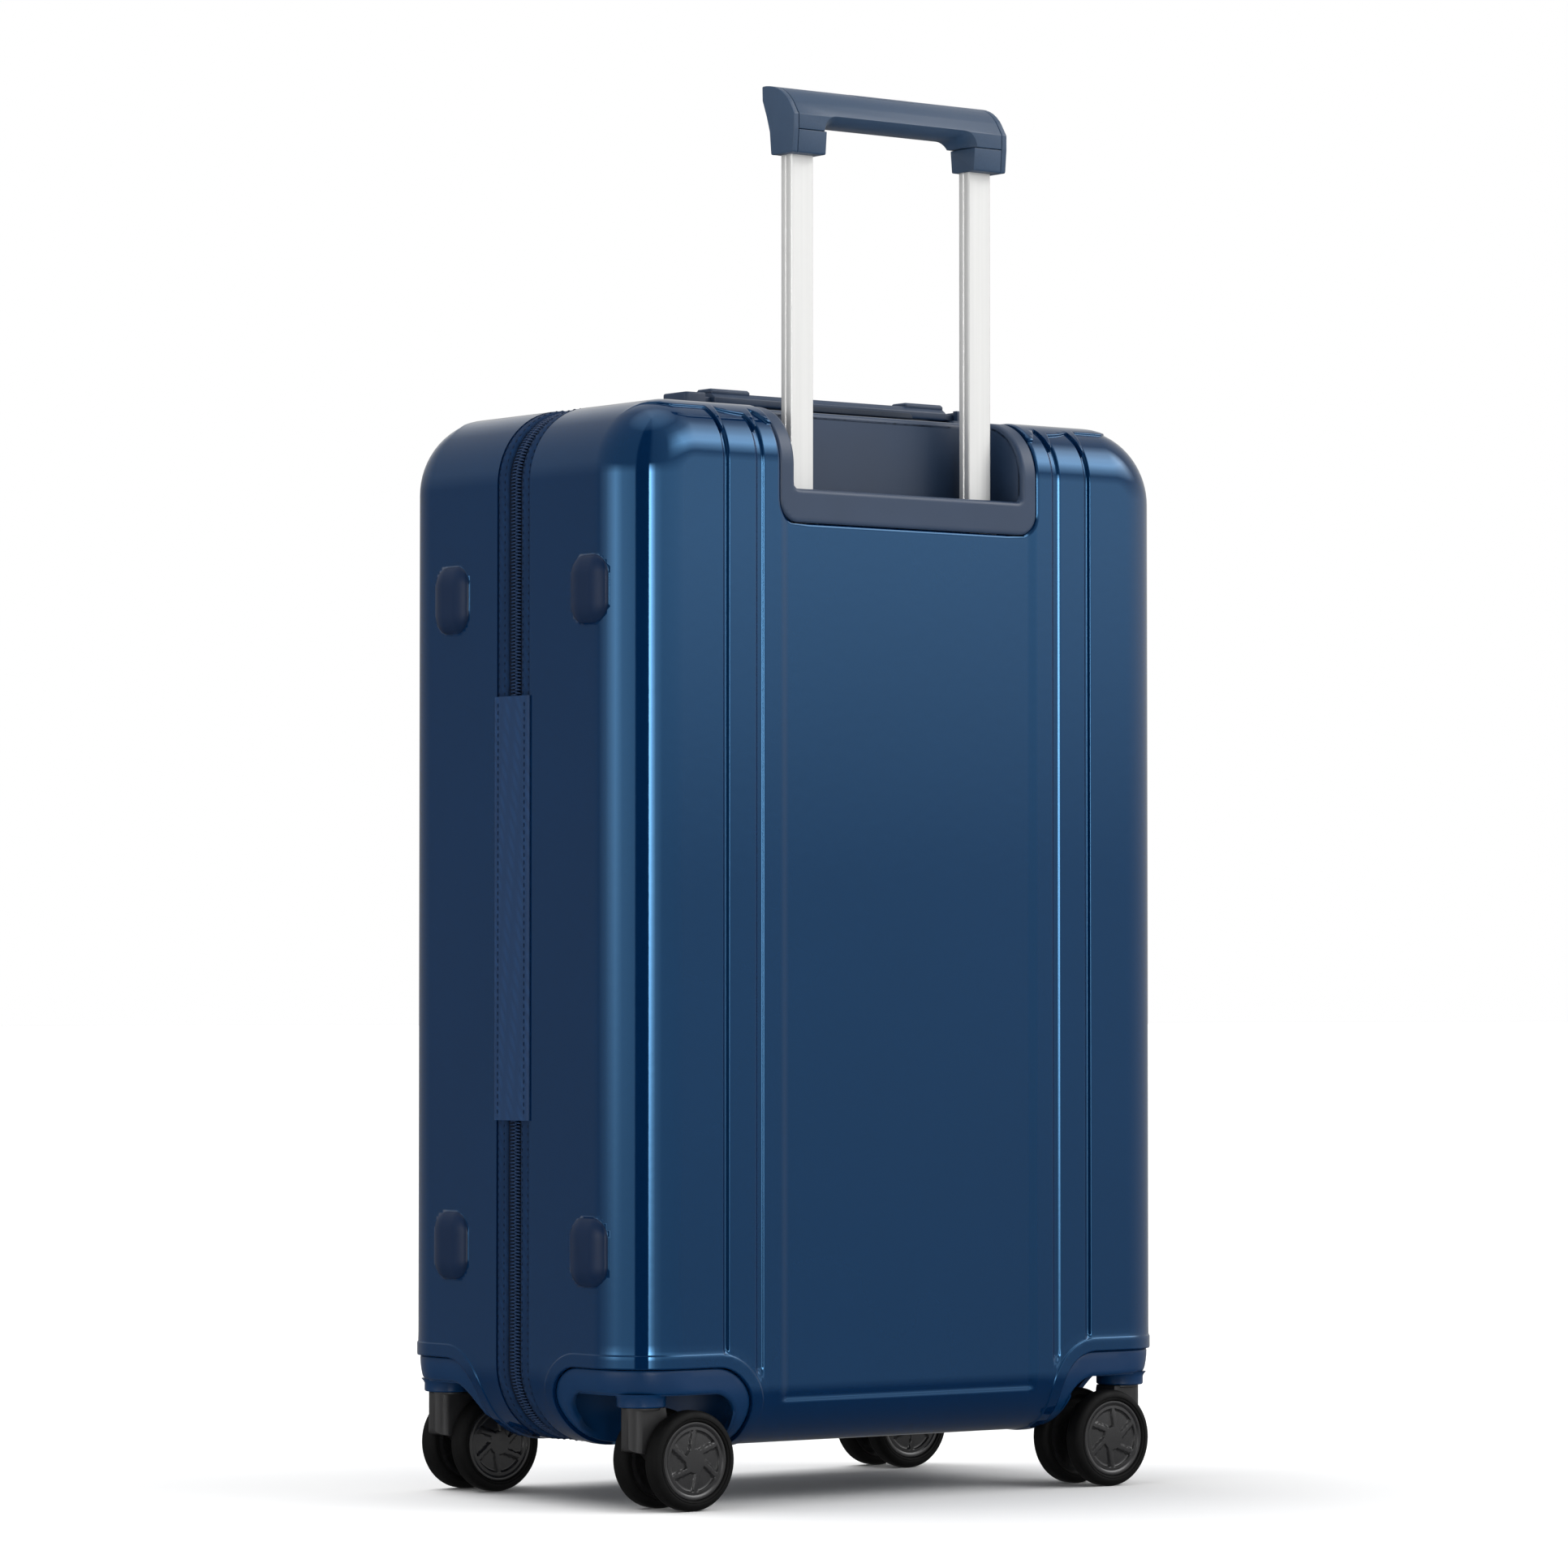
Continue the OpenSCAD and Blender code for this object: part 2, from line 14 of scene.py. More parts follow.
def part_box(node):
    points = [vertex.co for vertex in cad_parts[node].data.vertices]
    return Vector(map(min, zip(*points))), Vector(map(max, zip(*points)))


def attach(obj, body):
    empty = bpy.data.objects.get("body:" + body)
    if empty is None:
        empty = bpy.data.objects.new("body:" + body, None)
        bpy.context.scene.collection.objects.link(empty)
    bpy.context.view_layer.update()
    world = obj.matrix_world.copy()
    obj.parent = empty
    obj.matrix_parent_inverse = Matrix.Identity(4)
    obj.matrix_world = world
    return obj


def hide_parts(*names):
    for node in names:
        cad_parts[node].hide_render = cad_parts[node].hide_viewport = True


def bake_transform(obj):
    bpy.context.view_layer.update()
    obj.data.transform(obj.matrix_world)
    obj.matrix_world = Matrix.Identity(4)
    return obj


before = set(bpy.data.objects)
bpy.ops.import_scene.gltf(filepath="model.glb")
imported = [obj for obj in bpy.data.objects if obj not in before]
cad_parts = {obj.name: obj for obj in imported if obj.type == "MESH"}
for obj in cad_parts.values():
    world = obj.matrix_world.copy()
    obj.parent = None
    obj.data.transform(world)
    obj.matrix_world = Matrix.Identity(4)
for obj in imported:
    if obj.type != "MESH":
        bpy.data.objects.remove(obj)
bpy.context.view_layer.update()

MM = 0.001


def corners(node):
    """Lowest and highest corner of a CAD node, in millimetres."""
    return [np.array(corner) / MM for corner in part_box(node)]


# ---- the case's form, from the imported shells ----
SHELL_LOW, SHELL_HIGH = corners("rear_shell")
HALF_W = -SHELL_LOW[0]
HALF_D = SHELL_HIGH[1]
BOTTOM = SHELL_LOW[2]
TOP = SHELL_HIGH[2]
MID_Z = (BOTTOM + TOP) / 2
ZIP_Y = (corners("rear_zip_tape")[0][1] + corners("front_zip_tape")[1][1]) / 2
BAND = SHELL_LOW[1] - ZIP_Y
OUTLINE_R = 48
EDGE_R = 38
WALL = 2.5
CORE_X = HALF_W - OUTLINE_R
CORE_LOW = BOTTOM + OUTLINE_R
CORE_HIGH = TOP - OUTLINE_R
FACE_R = OUTLINE_R - EDGE_R
EDGE_Y = HALF_D - EDGE_R

# grooves and steps of the large faces, all as distances from the middle of the width
# each groove is its middle, half its width, half its floor and its depth
GROOVES = [(116.6, 3.8, 0.9, 1.4), (142.2, 2.9, 0.2, 1.9)]
PANEL_DEPTH = 1.35
PANEL_EDGE = (94.0, 101.4)
PANEL_LOW = 62.6
FRAME_EDGE_R = 34

# raised feet on the hinge side, as their middles in Y and Z
FEET = [(80, 153.7), (80, 549.2), (-61.5, 153.7), (-61.5, 549.2)]
FOOT_HALF = (17, 20.5)
FOOT_R = 12
FOOT_HEIGHT = SHELL_HIGH[0] - HALF_W
FOOT_EDGE = 12.5

# wheel housings
HOUSING_X = 121.5
HOUSING_Y = 39.5
HOUSING_TOP = 84.6
HOUSING_R = 27
STRIP_H = 7.8
STRIP_RISE = 0.8

# bezel of the handle housing
BEZEL_HALF = 101
BEZEL_LOW = corners("handle_housing")[0][2]
BEZEL_R = 14
RECESS_HALF = 89.5
RECESS_FLOOR = 613
RECESS_FRONT = 78.5

CORNERS = {"rear_hinge": (1, 1), "rear_lock": (-1, 1), "front_hinge": (1, -1), "front_lock": (-1, -1)}


# ---- materials ----

def principled(name, **values):
    """A new node material and its Principled shader, with constants set on the shader's own sockets."""
    material = bpy.data.materials.new(name)
    material.use_nodes = True
    shader = material.node_tree.nodes["Principled BSDF"]
    for socket, value in values.items():
        shader.inputs[socket.replace("_", " ")].default_value = value
    return material, shader


def texture_space(tree, scale):
    """Object coordinates, in metres, multiplied by a scale along each axis."""
    coordinates = tree.nodes.new("ShaderNodeTexCoord")
    mapping = tree.nodes.new("ShaderNodeMapping")
    mapping.inputs["Scale"].default_value = scale
    tree.links.new(coordinates.outputs["Object"], mapping.inputs["Vector"])
    return mapping.outputs["Vector"]


def noise(tree, scale, detail=3.0, stretch=(1, 1, 1), roughness=0.5):
    """A noise texture in object space, as a value from 0 to 1."""
    node = tree.nodes.new("ShaderNodeTexNoise")
    node.inputs["Scale"].default_value = scale
    node.inputs["Detail"].default_value = detail
    node.inputs["Roughness"].default_value = roughness
    tree.links.new(texture_space(tree, stretch), node.inputs["Vector"])
    return node.outputs["Fac"]


def ramp(tree, factor, stops):
    """A colour ramp with stops of (place, colour)."""
    node = tree.nodes.new("ShaderNodeValToRGB")
    elements = node.color_ramp.elements
    while len(elements) < len(stops):
        elements.new(0.5)
    for element, (place, colour) in zip(elements, stops):
        element.position = place
        element.color = (*colour, 1) if len(colour) == 3 else colour
    tree.links.new(factor, node.inputs["Fac"])
    return node.outputs["Color"]


def grey(value):
    """A colour with three equal channels."""
    return (value, value, value)


def shade(colour, factor):
    """A colour made lighter or darker by a factor."""
    return tuple(min(1.0, c * factor) for c in colour)


def bump(tree, height, distance, strength=1.0, normal=None):
    """A normal tilted by the slope of a height, whose full range is a distance in metres."""
    node = tree.nodes.new("ShaderNodeBump")
    node.inputs["Distance"].default_value = distance
    node.inputs["Strength"].default_value = strength
    tree.links.new(height, node.inputs["Height"])
    if normal is not None:
        tree.links.new(normal, node.inputs["Normal"])
    return node.outputs["Normal"]


def varied(name, colour, spread, colour_scale, rough, rough_spread, grain, grain_scale,
           grain_depth, stretch=(1, 1, 1), **values):
    """A material whose colour, roughness and fine surface all vary by noise."""
    material, shader = principled(name, **values)
    tree = material.node_tree
    patches = noise(tree, colour_scale, 4.0, stretch)
    colours = ramp(tree, patches, [(0.3, shade(colour, 1 - spread)), (0.7, shade(colour, 1 + spread))])
    tree.links.new(colours, shader.inputs["Base Color"])
    roughs = ramp(tree, patches, [(0.3, grey(rough - rough_spread)), (0.7, grey(rough + rough_spread))])
    tree.links.new(roughs, shader.inputs["Roughness"])
    if grain:
        fine = noise(tree, grain_scale, 2.0, stretch, 0.6)
        tree.links.new(bump(tree, fine, grain_depth), shader.inputs["Normal"])
    return material


def woven(name, colour, pitch, depth, **values):
    """Cloth of crossing threads, pitch metres apart."""
    material, shader = principled(name, **values)
    tree = material.node_tree
    heights = []
    for rotation in (0.6, -0.6):
        wave = tree.nodes.new("ShaderNodeTexWave")
        wave.wave_type = "BANDS"
        wave.bands_direction = "DIAGONAL"
        wave.inputs["Scale"].default_value = 1 / (pitch * 20)
        wave.inputs["Distortion"].default_value = 0.4
        wave.inputs["Detail Scale"].default_value = 3.0
        mapping = tree.nodes.new("ShaderNodeMapping")
        mapping.inputs["Rotation"].default_value = (rotation, rotation * 1.7, 0.3)
        tree.links.new(texture_space(tree, (1, 1, 1)), mapping.inputs["Vector"])
        tree.links.new(mapping.outputs["Vector"], wave.inputs["Vector"])
        heights.append(wave.outputs["Fac"])
    blend = tree.nodes.new("ShaderNodeMath")
    blend.operation = "MULTIPLY"
    tree.links.new(heights[0], blend.inputs[0])
    tree.links.new(heights[1], blend.inputs[1])
    threads = blend.outputs[0]
    colours = ramp(tree, threads, [(0.0, shade(colour, 0.88)), (0.8, shade(colour, 1.08))])
    tree.links.new(colours, shader.inputs["Base Color"])
    tree.links.new(bump(tree, threads, depth), shader.inputs["Normal"])
    return material


def shell_material():
    """Deep blue polycarbonate with a hard, bluish gloss and faint orange peel."""
    material, shader = principled("shell_gloss", IOR=1.5, Specular_IOR_Level=1.0,
                                  Specular_Tint=(0.22, 0.56, 1.0, 1.0))
    tree = material.node_tree
    clouds = noise(tree, 6.0, 3.0)
    colours = ramp(tree, clouds, [(0.3, (0.0005, 0.0112, 0.0430)), (0.7, (0.0006, 0.0126, 0.0475))])
    tree.links.new(colours, shader.inputs["Base Color"])
    roughs = ramp(tree, noise(tree, 90.0), [(0.3, grey(0.04)), (0.7, grey(0.06))])
    tree.links.new(roughs, shader.inputs["Roughness"])
    peel = noise(tree, 160.0, 1.0)
    tree.links.new(bump(tree, peel, 0.00001), shader.inputs["Normal"])
    return material


MATERIALS = {
    "shell": shell_material(),
    "foot": varied("foot_satin", (0.0004, 0.0115, 0.042), 0.05, 60, 0.36, 0.04, True, 1500, 0.00002,
                   Specular_IOR_Level=0.25),
    "trim": varied("satin_trim", (0.015, 0.034, 0.074), 0.06, 30, 0.42, 0.04, True, 2600, 0.00004),
    "pad": varied("soft_pad", (0.010, 0.021, 0.043), 0.08, 60, 0.62, 0.05, True, 2200, 0.00005),
    "housing": varied("housing_plastic", (0.0012, 0.024, 0.078), 0.06, 25, 0.34, 0.05, True, 900, 0.00003,
                      Specular_IOR_Level=0.25),
    "grip": varied("grip_plastic", (0.023, 0.051, 0.100), 0.10, 900, 0.40, 0.06, True, 2200, 0.00006),
    "aluminium": varied("brushed_aluminium", (0.72, 0.72, 0.71), 0.03, 400, 0.42, 0.05, True, 1500,
                        0.00001, (1, 1, 0.01), Metallic=0.6),
    "steel": varied("turned_steel", (0.52, 0.53, 0.54), 0.08, 200, 0.30, 0.06, True, 900, 0.00002,
                    Metallic=1.0),
    "bracket": varied("glass_filled_nylon", (0.022, 0.024, 0.028), 0.15, 120, 0.50, 0.06, True, 1800,
                      0.00006),
    "fork": varied("fork_nylon", (0.019, 0.019, 0.020), 0.10, 150, 0.42, 0.05, True, 1600, 0.00005,
                   Specular_IOR_Level=0.4),
    "hub": varied("hub_plastic", (0.013, 0.013, 0.014), 0.08, 120, 0.20, 0.05, True, 700, 0.00002),
    "tyre": varied("tyre_rubber", (0.0035, 0.0035, 0.0036), 0.15, 180, 0.60, 0.07, True, 1400, 0.00008,
                   Specular_IOR_Level=0.12),
    "lock": varied("lock_case", (0.10, 0.12, 0.15), 0.06, 80, 0.34, 0.05, True, 1500, 0.00003,
                   Metallic=0.6),
    "dial": varied("dial_plastic", (0.62, 0.63, 0.64), 0.04, 300, 0.35, 0.05, True, 900, 0.00003),
    "zip_metal": varied("zip_metal", (0.050, 0.065, 0.095), 0.10, 150, 0.33, 0.05, True, 900, 0.00003,
                        Metallic=0.7),
    "coil": varied("coil_nylon", (0.004, 0.024, 0.075), 0.15, 400, 0.40, 0.05, True, 1500, 0.00003,
                   Specular_IOR_Level=0.4),
    "binding": woven("binding_tape", (0.0018, 0.019, 0.062), 0.0007, 0.00005, Roughness=0.6,
                     Specular_IOR_Level=0.15),
    "tape": woven("zip_tape", (0.002, 0.007, 0.021), 0.0006, 0.00008, Roughness=0.75,
                  Specular_IOR_Level=0.2),
    "thread": varied("thread", (0.003, 0.012, 0.036), 0.15, 900, 0.6, 0.05, True, 4000, 0.00005,
                     Specular_IOR_Level=0.2),
    "hinge": woven("hinge_cloth", (0.0045, 0.031, 0.096), 0.0008, 0.00004, Roughness=0.5,
                   Specular_IOR_Level=0.3),
    "lining": woven("lining_cloth", (0.055, 0.075, 0.12), 0.0011, 0.00010, Roughness=0.8,
                    Sheen_Weight=0.25),
    "webbing": woven("webbing", (0.016, 0.022, 0.036), 0.0020, 0.00030, Roughness=0.75),
}

# what each carried-over CAD node is made of
NODE_MATERIALS = {
    "middle_tubes": "aluminium", "outer_tubes": "aluminium",
    "release_rods": "steel", "tube_foot": "bracket",
}
for corner in CORNERS:
    NODE_MATERIALS["axle_" + corner] = "steel"


def dress(node, material):
    """Gives a CAD node one of the node materials."""
    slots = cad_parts[node].material_slots
    for place in slots:
        place.material = MATERIALS[material]


# ---- mesh helpers ----

def make_object(name, points, faces, material, sharp=35):
    """A smooth mesh object from points in millimetres."""
    mesh = bpy.data.meshes.new(name)
    mesh.from_pydata([tuple(p) for p in np.asarray(points) * MM], [], faces)
    mesh.materials.append(MATERIALS[material])
    mesh.shade_smooth()
    mesh.set_sharp_from_angle(angle=math.radians(sharp))
    piece = bpy.data.objects.new(name, mesh)
    bpy.context.scene.collection.objects.link(piece)
    return piece


def place(piece, body, slot, *nodes):
    """Puts a piece on its body and hides the CAD nodes that it stands for; its slot is not used."""
    if body:
        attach(piece, body)
    if nodes:
        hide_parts(*nodes)
    return piece


def bmesh_points(bm):
    """All vertices of bm as an array."""
    return np.array([vertex.co[:] for vertex in bm.verts], float)


def insert_contour(bm, level):
    """Splits edges and faces of bm along the line where level, a function of points, is zero."""
    bm.verts.index_update()
    points = bmesh_points(bm)
    value = level(points)
    value[np.abs(value) < 1e-7] = 1e-7
    crossing = [e for e in bm.edges if value[e.verts[0].index] * value[e.verts[1].index] < 0]
    if not crossing:
        return
    start = points[[e.verts[0].index for e in crossing]]
    end = points[[e.verts[1].index for e in crossing]]
    sign = np.sign(value[[e.verts[0].index for e in crossing]])
    low = np.zeros(len(crossing))
    high = np.ones(len(crossing))
    for _ in range(14):
        middle = (low + high) / 2
        same = level(start + (end - start) * middle[:, None]) * sign > 0
        low = np.where(same, middle, low)
        high = np.where(same, high, middle)
    new = set()
    for edge, share in zip(crossing, np.clip((low + high) / 2, 0.001, 0.999)):
        new.add(bmesh.utils.edge_split(edge, edge.verts[0], share)[1])
    for face in {f for vertex in new for f in vertex.link_faces}:
        ends = [vertex for vertex in face.verts if vertex in new]
        if len(ends) == 2:
            bmesh.utils.face_split(face, *ends)


def rim_faces(bm):
    """Faces that close the open borders between bm and a copy of its points numbered after it."""
    count = len(bm.verts)
    rim = []
    for edge in bm.edges:
        if edge.is_boundary:
            loop = edge.link_loops[0]
            a, b = loop.vert.index, loop.link_loop_next.vert.index
            rim.append([b, a, a + count, b + count])
    return rim


def join_rings(bm, first, second):
    """Faces between two rings of vertices."""
    for quad in zip(first, first[1:] + first[:1], second[1:] + second[:1], second):
        bm.faces.new(quad)


def cut_hole(bm, level):
    """Cuts bm along level's zero line and removes the side where level is negative."""
    insert_contour(bm, level)
    centres = np.array([f.calc_center_median()[:] for f in bm.faces])
    inside = level(centres) < 0
    gone = [f for f, out in zip(bm.faces, inside) if out]
    bmesh.ops.delete(bm, geom=gone, context="FACES")


def rect_distance(a, b, low, high, radius):
    """Signed distance from a rounded rectangle in the plane of a and b, negative inside."""
    middle = [(low[i] + high[i]) / 2 for i in (0, 1)]
    half = [(high[i] - low[i]) / 2 - radius for i in (0, 1)]
    da = np.abs(a - middle[0]) - half[0]
    db = np.abs(b - middle[1]) - half[1]
    outside = np.hypot(np.maximum(da, 0), np.maximum(db, 0))
    return outside + np.minimum(np.maximum(da, db), 0) - radius


def smooth(value, low, high):
    """Goes from 0 at low to 1 at high, with a level start and end."""
    t = np.clip((value - low) / (high - low), 0, 1)
    return t * t * (3 - 2 * t)


def thickened(bm, outer, inner):
    """A closed skin between two sets of points that share bm's faces; bm is freed."""
    count = len(outer)
    faces = [[v.index for v in f.verts] for f in bm.faces]
    rim = rim_faces(bm)
    bm.free()
    skin = bmesh.new()
    vertices = [skin.verts.new(p) for p in np.vstack([outer, inner])]
    for face in faces + [[i + count for i in reversed(f)] for f in faces] + rim:
        skin.faces.new([vertices[i] for i in face])
    bmesh.ops.recalc_face_normals(skin, faces=skin.faces)
    return skin


def tidy(bm, distance=0.03):
    """Welds close points, drops loose ones, and returns the points that are left."""
    bmesh.ops.remove_doubles(bm, verts=bm.verts, dist=distance)
    bmesh.ops.delete(bm, geom=[v for v in bm.verts if not v.link_faces], context="VERTS")
    bm.verts.index_update()
    return bmesh_points(bm)


# ---- the swept form of the case ----

def ring_path(columns, rows, turns=16):
    """Stations round the case's core rectangle, each as its point in X and Z and its outward direction."""
    stations = []
    sides = [
        ([(x, CORE_LOW) for x in columns], -90),
        ([(CORE_X, z) for z in rows], 0),
        ([(x, CORE_HIGH) for x in reversed(columns)], 90),
        ([(-CORE_X, z) for z in reversed(rows)], 180),
    ]
    for points, degrees in sides:
        for point in points:
            stations.append((point, degrees))
        for i in range(1, turns):
            stations.append((points[-1], degrees + 90 * i / turns))
    return [((x, z), (math.cos(math.radians(a)), math.sin(math.radians(a)))) for (x, z), a in stations]


def skin_profile(from_band, arc_steps=22):
    """The case's section across its edge, as the distance out from the core and the depth in Y."""
    arc = [math.radians(90 * i / arc_steps) for i in range(arc_steps + 1)]
    profile = [(0.01, HALF_D), (FACE_R / 2, HALF_D)]
    profile += [(FACE_R + EDGE_R * math.sin(a), EDGE_Y + EDGE_R * math.cos(a)) for a in arc]
    steps = max(2, round((EDGE_Y - from_band) / 2.4))
    profile += [(OUTLINE_R, EDGE_Y + (from_band - EDGE_Y) * i / steps) for i in range(1, steps + 1)]
    return profile


def skin_mesh(side, band, columns, rows):
    """One half of the case as an open bmesh, before its grooves, steps and holes."""
    bm = bmesh.new()
    stations = ring_path(columns, rows)
    profile = skin_profile(band)
    grid = []
    for (x, z), (dx, dz) in stations:
        grid.append([bm.verts.new((x + dx * out, side * y, z + dz * out)) for out, y in profile])
    for i, line in enumerate(grid):
        after = grid[(i + 1) % len(grid)]
        for j in range(len(profile) - 1):
            bm.faces.new((line[j], line[j + 1], after[j + 1], after[j]))
    face = [[bm.verts.new((x, side * HALF_D, z)) for z in rows] for x in columns]
    for i in range(len(columns) - 1):
        for j in range(len(rows) - 1):
            bm.faces.new((face[i][j], face[i][j + 1], face[i + 1][j + 1], face[i + 1][j]))
    bmesh.ops.remove_doubles(bm, verts=bm.verts, dist=0.05)
    bmesh.ops.recalc_face_normals(bm, faces=bm.faces)
    middle = min(bm.faces, key=lambda f: (f.calc_center_median() - Vector((0, side * HALF_D, MID_Z))).length)
    if middle.normal.y * side < 0:
        bmesh.ops.reverse_faces(bm, faces=bm.faces)
    return bm


def from_core(points):
    """Nearest point of the form's core in X and Z, and the direction and distance from it."""
    core_x = np.clip(points[:, 0], -CORE_X, CORE_X)
    core_z = np.clip(points[:, 2], CORE_LOW, CORE_HIGH)
    out = np.stack([points[:, 0] - core_x, points[:, 2] - core_z], axis=1)
    length = np.hypot(out[:, 0], out[:, 1])
    return np.stack([core_x, core_z], axis=1), out / np.maximum(length, 1e-9)[:, None], length


def form_angles(points):
    """For points on the form: outward direction in X and Z, and the turn from the face to the wall."""
    _, direction, length = from_core(points)
    turn = np.arctan2(length - FACE_R, np.abs(points[:, 1]) - EDGE_Y)
    turn = np.where(length <= FACE_R, 0, np.where(np.abs(points[:, 1]) <= EDGE_Y, math.pi / 2, turn))
    return direction, turn


def form_normals(points):
    """Outward normals of the plain form."""
    direction, turn = form_angles(points)
    flat = np.sin(turn)[:, None] * direction
    return np.stack([flat[:, 0], np.sign(points[:, 1]) * np.cos(turn), flat[:, 1]], axis=1)


def form_project(points):
    """Moves points that are near the form onto it."""
    core, direction, length = from_core(points)
    depth = np.abs(points[:, 1])
    side = np.sign(points[:, 1])
    across = np.maximum(length - FACE_R, 0)
    back = np.maximum(depth - EDGE_Y, 0)
    scale = EDGE_R / np.maximum(np.hypot(across, back), 1e-9)
    new_length = np.where(length > FACE_R, FACE_R + across * scale, length)
    new_depth = np.where(length > FACE_R, np.where(back > 0, EDGE_Y + back * scale, depth), HALF_D)
    flat = core + direction * new_length[:, None]
    return np.stack([flat[:, 0], side * new_depth, flat[:, 1]], axis=1)


def corner_distance(points, inset, top, radius):
    """Distance outside a room at the nearest bottom corner, which has one outline from two sides."""
    z = points[:, 2]
    seen_front = rect_distance(np.abs(points[:, 0]), z, (HOUSING_X + inset, -400), (800, top), radius)
    seen_side = rect_distance(np.abs(points[:, 1]), z, (HOUSING_Y + inset, -400), (800, top), radius)
    return np.maximum(seen_front, seen_side)


def housing_distance(points):
    """Distance outside the nearest wheel housing's outline, negative inside it."""
    return corner_distance(points, 0, HOUSING_TOP, HOUSING_R)


def bezel_distance(points):
    """Distance outside the bezel's outline on the rear face, negative inside it."""
    low, high = (-BEZEL_HALF, BEZEL_LOW), (BEZEL_HALF, TOP + 200)
    outline = rect_distance(points[:, 0], points[:, 2], low, high, BEZEL_R)
    return np.maximum(outline, RECESS_FRONT - WALL - points[:, 1])


# where the panels' tops end under the frame, as degrees round the top edge, with the frame's
# tongues that run down into the grooves
TOP_STEP_X = [0, 104.9, 111.0, 113.4, 116.6, 119.8, 124.8, 131.7, 138.4, 139.4, 142.2, 145.0, 146.0,
              164.5]
TOP_STEP_ANGLE = [40, 40, 56, 58, 30, 49, 50, 52, 56, 57, 26, 57, 58, 58]
CORNER_STEP_TURN = [0, 36, 48, 61, 67, 72, 77, 84, 90]
CORNER_STEP_ANGLE = [91, 88, 86.6, 82.3, 79.1, 72.2, 65.1, 58.5, 58]


def top_step(points):
    """Degrees beyond the panels' top ends, negative on the panels."""
    direction, turn = form_angles(points)
    x = np.abs(points[:, 0])
    round_corner = np.degrees(np.arctan2(direction[:, 1], np.abs(direction[:, 0])))
    straight = np.interp(x, TOP_STEP_X, TOP_STEP_ANGLE)
    turned = np.interp(round_corner, CORNER_STEP_TURN, CORNER_STEP_ANGLE)
    limit = np.where(x <= CORE_X, straight, turned)
    upper = points[:, 2] > CORE_HIGH - 1
    return np.where(upper, np.degrees(turn) - limit, -60)


def frame_rise(points):
    """How far the frame's tighter edge stands off the panels' rounder one."""
    direction, turn = form_angles(points)
    shift = EDGE_R - FRAME_EDGE_R
    both = np.cos(turn) + np.sin(turn)
    rise = shift * both + np.sqrt((shift * both) ** 2 + FRAME_EDGE_R ** 2 - 2 * shift ** 2) - EDGE_R
    round_corner = np.degrees(np.arctan2(direction[:, 1], np.abs(direction[:, 0])))
    return np.maximum(rise, 0) * smooth(round_corner, 2, 40)


def foot_distance(points, side):
    """Signed distance from the nearest raised foot's outline on the hinge side."""
    nearest = np.full(len(points), 1000.0)
    for y, z in FEET:
        if y * side > 0:
            low = (y - FOOT_HALF[0], z - FOOT_HALF[1])
            high = (y + FOOT_HALF[0], z + FOOT_HALF[1])
            nearest = np.minimum(nearest, rect_distance(points[:, 1], points[:, 2], low, high, FOOT_R))
    return np.where(points[:, 0] > 150, nearest, 1000.0)


def groove_sink(points):
    """Depth of the grooves and of the lowered middle panel, before they fade at their ends."""
    x = np.abs(points[:, 0])
    sink = np.zeros(len(points))
    for middle, half, floor, depth in GROOVES:
        sink = np.maximum(sink, depth * (1 - smooth(np.abs(x - middle), floor, half)))
    return sink, PANEL_DEPTH * (1 - smooth(x, *PANEL_EDGE))


def skin_offset(points, side):
    """How far the finished skin stands off the plain form, along its normal."""
    _, turn = form_angles(points)
    housing = housing_distance(points)
    step = top_step(points)
    on_face = 1 - smooth(np.degrees(turn), 80, 90)
    grooves, middle = groove_sink(points)
    above_strip = smooth(housing, STRIP_H, STRIP_H + 4)
    groove_low = smooth(points[:, 2], 78, 84)
    under_top = 1 - smooth(step, -1.2, 0.0)
    panel_low = smooth(points[:, 2], PANEL_LOW - 1.2, PANEL_LOW + 1.8)
    sink = grooves * above_strip * groove_low * under_top * on_face
    middle_sink = middle * panel_low * under_top * on_face
    offset = -np.maximum(sink, middle_sink)
    offset += frame_rise(points) * smooth(step, 0.0, 1.3)
    strip = 1 - smooth(housing, STRIP_H, STRIP_H + 1.2)
    fillet = 1 - smooth(housing, STRIP_H + 1.2, STRIP_H + 7)
    offset += STRIP_RISE * (0.85 * strip + 0.15 * fillet)
    lip = 1 - np.clip(housing / 1.2, 0, 1)
    offset -= 0.5 * lip ** 2
    foot = np.clip(-foot_distance(points, side) / FOOT_EDGE, 0, 1)
    offset += FOOT_HEIGHT * np.sqrt(np.maximum(1 - (1 - foot) ** 2, 0))
    if side > 0:
        edge = 1 - np.clip(bezel_distance(points) / 2.6, 0, 1)
        offset -= 1.1 * edge ** 2
    return offset


def skin_normals(points, side):
    """Normals of the finished skin, from its slope along two tangents."""
    normals = form_normals(points)
    helper = np.where(np.abs(normals[:, 2:3]) < 0.7, [[0, 0, 1.0]], [[1.0, 0, 0]])
    first = np.cross(normals, helper)
    first /= np.linalg.norm(first, axis=1)[:, None]
    second = np.cross(normals, first)
    reach = 0.12

    def finished(moved):
        """The skin over points moved along the plain form."""
        base = form_project(moved)
        return base + form_normals(base) * skin_offset(base, side)[:, None]

    slope_a = finished(points + first * reach) - finished(points - first * reach)
    slope_b = finished(points + second * reach) - finished(points - second * reach)
    result = np.cross(slope_a, slope_b)
    result /= np.maximum(np.linalg.norm(result, axis=1), 1e-12)[:, None]
    flip = np.sign((result * normals).sum(axis=1))
    return result * flip[:, None]


